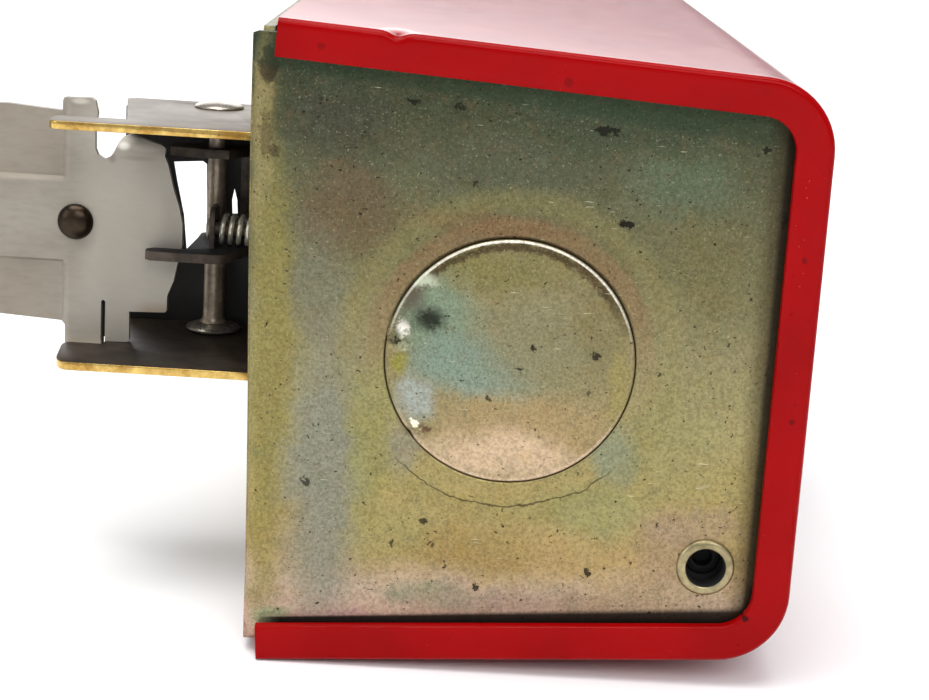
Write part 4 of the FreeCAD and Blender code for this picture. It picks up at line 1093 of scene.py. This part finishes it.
def springTree():
    tree = bpy.data.node_groups.new("coilSpring", "GeometryNodeTree")
    for name, kind, default in (("Turns", "NodeSocketFloat", 6.0), ("Radius", "NodeSocketFloat", 0.001),
                                ("Length", "NodeSocketFloat", 0.005), ("Wire", "NodeSocketFloat", 0.0002),
                                ("Finish", "NodeSocketMaterial", None)):
        socket = tree.interface.new_socket(name, in_out="INPUT", socket_type=kind)
        if default is not None:
            socket.default_value = default
    tree.interface.new_socket("Geometry", in_out="OUTPUT", socket_type="NodeSocketGeometry")
    ins = tree.nodes.new("NodeGroupInput")
    outs = tree.nodes.new("NodeGroupOutput")
    spiral = tree.nodes.new("GeometryNodeCurveSpiral")
    spiral.inputs["Resolution"].default_value = 40
    circle = tree.nodes.new("GeometryNodeCurvePrimitiveCircle")
    circle.inputs["Resolution"].default_value = 14
    sweep = tree.nodes.new("GeometryNodeCurveToMesh")
    sweep.inputs["Fill Caps"].default_value = True
    real = tree.nodes.new("GeometryNodeRealizeInstances")
    coat = tree.nodes.new("GeometryNodeSetMaterial")
    shade = tree.nodes.new("GeometryNodeSetShadeSmooth")
    return joinUp(tree, [
        (ins.outputs["Turns"], spiral.inputs["Rotations"]),
        (ins.outputs["Radius"], spiral.inputs["Start Radius"]),
        (ins.outputs["Radius"], spiral.inputs["End Radius"]),
        (ins.outputs["Length"], spiral.inputs["Height"]),
        (ins.outputs["Wire"], circle.inputs["Radius"]),
        (spiral.outputs[0], sweep.inputs["Curve"]),
        (circle.outputs[0], sweep.inputs["Profile Curve"]),
        (sweep.outputs[0], shade.inputs[0]),
        (shade.outputs[0], real.inputs[0]),
        (real.outputs[0], coat.inputs[0]),
        (ins.outputs["Finish"], coat.inputs["Material"]),
        (coat.outputs[0], outs.inputs[0]),
    ])


def setInput(modifier, name, value):
    for item in modifier.node_group.interface.items_tree:
        if item.in_out == "INPUT" and item.name == name:
            modifier[item.identifier] = value


def makeSpring():
    s = spring
    piece = newObject("latchSpring", bpy.data.meshes.new("latchSpring"))
    coil = piece.modifiers.new("coil", "NODES")
    coil.node_group = springTree()
    setInput(coil, "Turns", s["turns"])
    setInput(coil, "Radius", s["radius"] * mm)
    setInput(coil, "Length", s["length"] * mm)
    setInput(coil, "Wire", s["wire"] * mm)
    setInput(coil, "Finish", looks["spring_steel"])
    applied(piece)
    piece.data.transform(Matrix.Rotation(math.radians(-90), 4, "Y"))
    piece.data.transform(Matrix.Translation(Vector((s["start"], s["y"], s["z"])) * mm))
    finished(piece, ["latch_spring"])
    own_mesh(piece)
    return piece


makeSpring()
print("spring made")


# ---------- release arm ----------

arm = {
    "front": -36.0, "wall": 0.8, "grid": 0.32,
    "head": [(-21.76, 16.9), (-21.72, 17.9), (-21.62, 18.18), (-21.3, 18.29), (-18.8, 18.37),
             (-18.45, 18.1),
             (-18.18, 16.92), (-18.41, 15.3), (-18.38, 13.38), (-18.1, 12.75), (-17.52, 12.42),
             (-16.9, 12.7), (-16.55, 13.2), (-16.15, 14.15), (-15.8, 14.6), (-15.2, 14.85),
             (-11.9, 14.1), (-11.5, 13.8), (-11.55, 13.04), (-11.22, 12.31), (-10.62, 9.77),
             (-10.05, 8.06), (-9.69, 6.34), (-9.68, 4.15), (-10.1, 2.2), (-10.41, 0.6),
             (-11.02, -1.0), (-11.03, -2.5), (-11.2, -2.67), (-14.79, -2.79), (-14.74, -5.75),
             (-14.95, -5.94), (-17.18, -5.98), (-17.18, -1.9), (-17.4, -1.72), (-17.61, -1.9),
             (-17.61, -7.5), (-21.17, -7.5), (-21.25, -4.5), (-21.7, -4.22), (-45.0, -2.9),
             (-65.0, -1.4), (-69.2, 0.4), (-70.0, 1.9), (-70.0, 10.1), (-69.2, 11.6),
             (-65.0, 14.2), (-45.0, 16.1), (-34.0, 17.1), (-27.0, 17.3)],
    "bandTop": 10.25, "bandLow": 1.95, "bandEnd": -21.5, "setBack": 0.6, "soft": 0.45,
    "roll": (12.9, 2.2),
}


def armFace(x, z):
    # how far the arm's face stands behind the head's face
    a = arm
    soft = a["soft"]
    taper = 0.5 * ease(-x, 21, 58)
    inBand = (ease(z, a["bandLow"] + taper - soft / 2, a["bandLow"] + taper + soft / 2)
              * (1 - ease(z, a["bandTop"] - taper - soft / 2, a["bandTop"] - taper + soft / 2))
              * ease(x, -59.5, -58.2))
    onHead = ease(x, a["bandEnd"] - 0.25, a["bandEnd"] + 0.45)
    back = a["setBack"] * (1 - max(inBand, onHead))
    foot, radius = a["roll"]
    if x > -17.4 and z > foot:  # the top ear rolls back
        rise = min(z - foot, radius * 0.93)
        back += (radius - math.sqrt(radius ** 2 - rise ** 2)) * ease(x, -17.4, -16.3)
    back += 0.22 * ease(x, -12.0, -9.6) * ease(z, -1.0, 3.0) * (1 - ease(z, 9.0, 13.0))
    away = ((x + 20.25) ** 2 + (z - 6.03) ** 2) / 2.3 ** 2
    back += 0.12 * math.exp(-away)
    return back


def makeArm():
    a = arm
    step = a["grid"]
    xs = [-70.6 + step * i for i in range(int(61.6 / step) + 2)]
    zs = [-8.1 + step * i for i in range(int(27.2 / step) + 2)]
    points, faces = [], []
    for layer in (0, 1):
        for x in xs:
            for z in zs:
                y = a["front"] + armFace(x, z) + layer * a["wall"]
                points.append((x, y, z))
    rows, cols = len(xs), len(zs)
    size = rows * cols
    for layer in (0, 1):
        for i in range(rows - 1):
            for j in range(cols - 1):
                k = layer * size + i * cols + j
                faces.append((k, k + 1, k + cols + 1, k + cols))
    rim = ([i * cols for i in range(rows)] + [(rows - 1) * cols + j for j in range(1, cols)]
           + [i * cols + cols - 1 for i in range(rows - 2, -1, -1)]
           + [j for j in range(cols - 2, 0, -1)])
    for i, k in enumerate(rim):
        n = rim[(i + 1) % len(rim)]
        faces.append((k, n, size + n, size + k))
    plate = tidied(meshPiece("releaseArm", points, faces))
    outline = prism("armTool", a["head"], a["front"] - 1, a["front"] + 3.5, "Y")
    carve(plate, outline, "INTERSECT")
    for x, z, radius in ((-65.0, 6.03, 2.42), (-20.25, 6.03, 0.93)):
        hole = prism("armHole", arcPoints(x, z, radius, 0, 352.5, 47), a["front"] - 1,
                     a["front"] + 4, "Y")
        carve(plate, hole)
    # a thin near-black sheet behind the guide slot, painted shade in the slot
    slotShade = prism("slotTab", [(-18.3, -7.2), (-17.45, -7.2), (-17.45, -5.7), (-16.4, -5.6),
                              (-16.4, -1.2), (-18.3, -1.2)],
                a["front"] + a["wall"] - 0.02, a["front"] + a["wall"] + 0.35, "Y")
    for face in slotShade.data.polygons:
        face.material_index = 1
    plate = joined("releaseArm", [plate, slotShade])
    plate.data.materials.append(looks["arm_steel"])
    plate.data.materials.append(shadeBlack)
    smooth(plate, 40)
    return finished(plate, ["release_arm"])


makeArm()
rivetProfile = [(0, -1.25), (0.8, -1.2), (1.15, -1.0), (1.2, -0.8), (0.9, -0.8), (0.9, 0.0),
                (1.72, 0.0), (1.78, 0.06), (1.72, 0.24), (1.52, 0.5), (1.2, 0.72), (0.8, 0.88),
                (0.4, 0.96), (0, 0.98)]
finished(lathe("armRivet", (-20.25, -36.0, 6.03), (0, -1, 0), rivetProfile), ["arm_rivet"],
         rivetDark)
grommetProfile = [(2.0, -1.3), (2.4, -1.32), (2.9, -1.2), (3.0, -1.0), (3.0, -0.8), (2.4, -0.8),
                  (2.4, 0.0), (3.2, 0.0), (3.24, 0.12), (3.1, 0.36), (2.7, 0.52), (2.35, 0.55),
                  (2.12, 0.46), (2.0, 0.25)]
finished(lathe("cableEyelet", (-65.0, -35.4, 6.03), (0, -1, 0), grommetProfile),
         ["cable_eyelet"])
print("arm made")


# ---------- screws and rivets ----------

fastenerSizes = {
    "screw": {"head": 2.9, "rise": 1.5, "shank": 1.27, "slot": 0.7, "slotDeep": 0.7},
    "rivet": {"head": 2.0, "rise": 0.75, "shank": 1.28},
}


def screwMesh(deep):
    # a round-headed screw with a straight slot, pointing along +Z
    s = fastenerSizes["screw"]
    profile = [(0, -deep), (s["shank"] - 0.2, -deep), (s["shank"], 0.2 - deep)]
    pitch, turns = 0.5, int(max(1, (deep - 0.6) / 0.5))
    for i in range(turns):
        z = 0.3 - deep + i * pitch
        profile += [(s["shank"], z), (s["shank"] - 0.22, z + pitch / 2)]
    profile += [(s["shank"], -0.1), (s["shank"], 0), (s["head"] - 0.08, 0), (s["head"], 0.08),
                (s["head"], 0.4), (s["head"] - 0.12, 0.75), (s["head"] - 0.45, 1.1),
                (s["head"] - 1.0, 1.35), (s["head"] - 1.8, 1.48), (0, s["rise"])]
    piece = lathe("screwHead", (0, 0, 0), (0, 0, 1), profile, 40)
    w = s["slot"] / 2
    slot = prism("slotTool", [(-4, -w), (4, -w), (4, w), (-4, w)], s["rise"] - s["slotDeep"],
                 s["rise"] + 1, "Z")
    carve(piece, slot)
    return smooth(piece, 38)


def scatterTree():
    tree = bpy.data.node_groups.new("fasteners", "GeometryNodeTree")
    tree.interface.new_socket("Geometry", in_out="INPUT", socket_type="NodeSocketGeometry")
    tree.interface.new_socket("Fastener", in_out="INPUT", socket_type="NodeSocketObject")
    tree.interface.new_socket("Turn", in_out="INPUT", socket_type="NodeSocketFloat")
    tree.interface.new_socket("Finish", in_out="INPUT", socket_type="NodeSocketMaterial")
    tree.interface.new_socket("Geometry", in_out="OUTPUT", socket_type="NodeSocketGeometry")
    ins = tree.nodes.new("NodeGroupInput")
    outs = tree.nodes.new("NodeGroupOutput")
    info = tree.nodes.new("GeometryNodeObjectInfo")
    info.inputs["As Instance"].default_value = True
    place = tree.nodes.new("GeometryNodeInstanceOnPoints")
    index = tree.nodes.new("GeometryNodeInputIndex")
    twist = tree.nodes.new("ShaderNodeMath")
    twist.operation = "MULTIPLY"
    rotation = tree.nodes.new("ShaderNodeCombineXYZ")
    rotation.inputs["Y"].default_value = math.pi / 2
    real = tree.nodes.new("GeometryNodeRealizeInstances")
    coat = tree.nodes.new("GeometryNodeSetMaterial")
    return joinUp(tree, [
        (ins.outputs["Geometry"], place.inputs["Points"]),
        (ins.outputs["Fastener"], info.inputs["Object"]),
        (info.outputs["Geometry"], place.inputs["Instance"]),
        (index.outputs[0], twist.inputs[0]),
        (ins.outputs["Turn"], twist.inputs[1]),
        (twist.outputs[0], rotation.inputs["X"]),
        (rotation.outputs[0], place.inputs["Rotation"]),
        (place.outputs[0], real.inputs[0]),
        (real.outputs[0], coat.inputs[0]),
        (ins.outputs["Finish"], coat.inputs["Material"]),
        (coat.outputs[0], outs.inputs[0]),
    ])


def spread(name, spots, model, replaced, finish, turn=0.7):
    # one fastener at each spot, its head towards +X
    mesh = bpy.data.meshes.new(name)
    mesh.from_pydata([tuple(c * mm for c in p) for p in spots], [], [])
    piece = newObject(name, mesh)
    scatter = piece.modifiers.new("scatter", "NODES")
    scatter.node_group = scatterTree()
    setInput(scatter, "Fastener", model)
    setInput(scatter, "Turn", turn)
    setInput(scatter, "Finish", finish)
    applied(piece)
    old = model.data
    bpy.data.objects.remove(model)
    bpy.data.meshes.remove(old)
    smooth(piece, 38)
    return finished(piece, replaced)


steel = looks["bright_steel"]
spread("frameScrews", [(2, 0, 12), (2, 0, -7.5)], screwMesh(1.9),
       ["frame_screw_upper", "frame_screw_lower"], steel)
spread("blockScrews", [(5, 34, 15.5), (5, 34, -15.5)], screwMesh(4.9),
       ["block_screw_upper", "block_screw_lower"], steel)
spread("groundScrew", [(1.5, -44, -15)], screwMesh(1.4), ["ground_screw"],
       looks["ground_green"])
capProfile = [(0, -2.0), (1.5, -1.95), (1.6, -1.6), (1.0, -1.6), (1.0, 0), (1.84, 0),
              (1.9, 0.07), (1.82, 0.25), (1.5, 0.47), (1.0, 0.62), (0.5, 0.68), (0, 0.7)]
for nodeName, pieceName, y in (("plate_rivet_near", "plateRivetNear", -33),
                               ("plate_rivet_far", "plateRivetFar", 33)):
    finished(lathe(pieceName, (50.3, y, -12), (1, 0, 0), capProfile, 40), [nodeName])
bandProfile = [(0, -2.5), (1.6, -2.3), (1.9, -1.8), (1.28, -1.8), (1.28, 0), (1.92, 0),
               (2.0, 0.08), (1.9, 0.3), (1.55, 0.53), (1.0, 0.69), (0.5, 0.74), (0, 0.75)]
for nodeName, pieceName, y, z in (("bracket_rivet_upper", "bracketRivetUpper", -41.5, 11.4),
                                  ("bracket_rivet_lower", "bracketRivetLower", -29.5, -0.6)):
    finished(lathe(pieceName, (-0.8, y, z), (-1, 0, 0), bandProfile, 40), [nodeName])
print("fasteners made")


# ---------- handle, rod, contacts and trim ----------

softCopies = [
    ("pull_handle", "pullHandle", 0.55, 3), ("handle_shaft", "handleShaft", 0.12, 2),
    ("rod_crank", "rodCrank", 0.12, 2), ("switch_finger", "switchFinger", 0.2, 2),
    ("handle_frame", "handleFrame", 0.15, 2), ("contact_block", "contactBlock", 0.3, 2),
    ("fixed_blade", "fixedBlade", 0.07, 1), ("moving_blade", "movingBlade", 0.07, 1),
    ("fixed_contact", "fixedContact", 0.06, 1), ("moving_contact", "movingContact", 0.06, 1),
    ("terminal_screw_low", "terminalScrewLow", 0.15, 2),
    ("terminal_screw_high", "terminalScrewHigh", 0.15, 2),
    ("ground_washer", "groundWasher", 0.08, 1), ("pull_rod", "pullRod", 0.08, 1),
    ("rod_collar", "rodCollar", 0.1, 2), ("window_trim", "windowTrim", 0.22, 3),
    ("blank_plate", "blankPlate", 0.14, 2), ("lock_lug", "lockLug", 0.15, 2),
]
for nodeName, pieceName, width, segments in softCopies:
    piece = softCopy(nodeName, pieceName, width, segments)
    if nodeName == "handle_frame":
        piece.data.materials[0] = zincPlain
    if nodeName == "pull_rod":
        piece.data.materials[0] = looks["pin_steel"]
print("inner parts made:", len(softCopies))


# ---------- floor, light and camera ----------

stage = {"floor": -29.2, "floorSize": 8.0, "floorTint": (0.93, 0.93, 0.93)}


def makeStage():
    s = stage
    size = s["floorSize"]
    mesh = bpy.data.meshes.new("floor")
    z = s["floor"] * mm
    mesh.from_pydata([(-size, -size, z), (size, -size, z), (size, size, z), (-size, size, z)], [],
                     [(0, 1, 2, 3)])
    floor = newObject("floor", mesh)
    g = Graph("floorPaper")
    color = g.mix(g.noise(40, 2), s["floorTint"], tuple(c * 0.99 for c in s["floorTint"]))
    g.finish(color, 0.9, 0.0)
    g.shader.inputs["Specular IOR Level"].default_value = 0.1
    mesh.materials.append(g.mat)


def addLight(name, spot, aim, size, power):
    lamp = bpy.data.lights.new(name, "AREA")
    lamp.shape = "RECTANGLE"
    lamp.size, lamp.size_y = size
    lamp.energy = power
    piece = bpy.data.objects.new(name, lamp)
    bpy.context.scene.collection.objects.link(piece)
    piece.location = spot
    way = Vector(aim) - Vector(spot)
    piece.rotation_euler = way.to_track_quat("-Z", "Y").to_euler()


lights = {
    "overhead": ((-0.12, -0.16, 1.1), (0, 0, 0), (0.9, 0.9), 12.5),
    "front": ((0.3, -1.1, 0.8), (0.02, -0.05, 0), (0.8, 0.6), 6.0),
    "side": ((-1.0, -0.6, 0.5), (0, -0.03, 0), (0.7, 0.7), 3.0),
    "behind": ((0.1, 1.3, 0.5), (0.02, 0, 0.02), (2.2, 0.7), 11.8),
}


def makeLights():
    for name, (spot, aim, size, power) in lights.items():
        addLight(name, spot, aim, size, power)
    world = bpy.data.worlds.new("room")
    bpy.context.scene.world = world
    world.use_nodes = True
    back = world.node_tree.nodes["Background"]
    back.inputs["Color"].default_value = (0.93, 0.95, 1.0, 1)
    back.inputs["Strength"].default_value = 0.45


camera = {
    "spot": (18.63, -230.57, 43.33), "lens": 77.417,
    "right": (0.99822808, 0.01270572, 0.05813138),
    "down": (0.05948234, -0.23926455, -0.96913071),
    "forward": (0.00159527, 0.97087128, -0.23959636),
}


def makeCamera():
    data = bpy.data.cameras.new("camera")
    data.sensor_width = 36.0
    data.lens = camera["lens"]
    data.clip_start = 0.01
    data.clip_end = 50
    piece = bpy.data.objects.new("camera", data)
    bpy.context.scene.collection.objects.link(piece)
    right, down, ahead = (Vector(camera[k]) for k in ("right", "down", "forward"))
    turn = Matrix((right, -down, -ahead)).transposed()
    piece.matrix_world = Matrix.Translation(Vector(camera["spot"]) * mm) @ turn.to_4x4()
    bpy.context.scene.camera = piece


makeStage()
makeLights()
makeCamera()
bpy.context.scene.view_settings.view_transform = "Standard"
print("stage, lights and camera set")
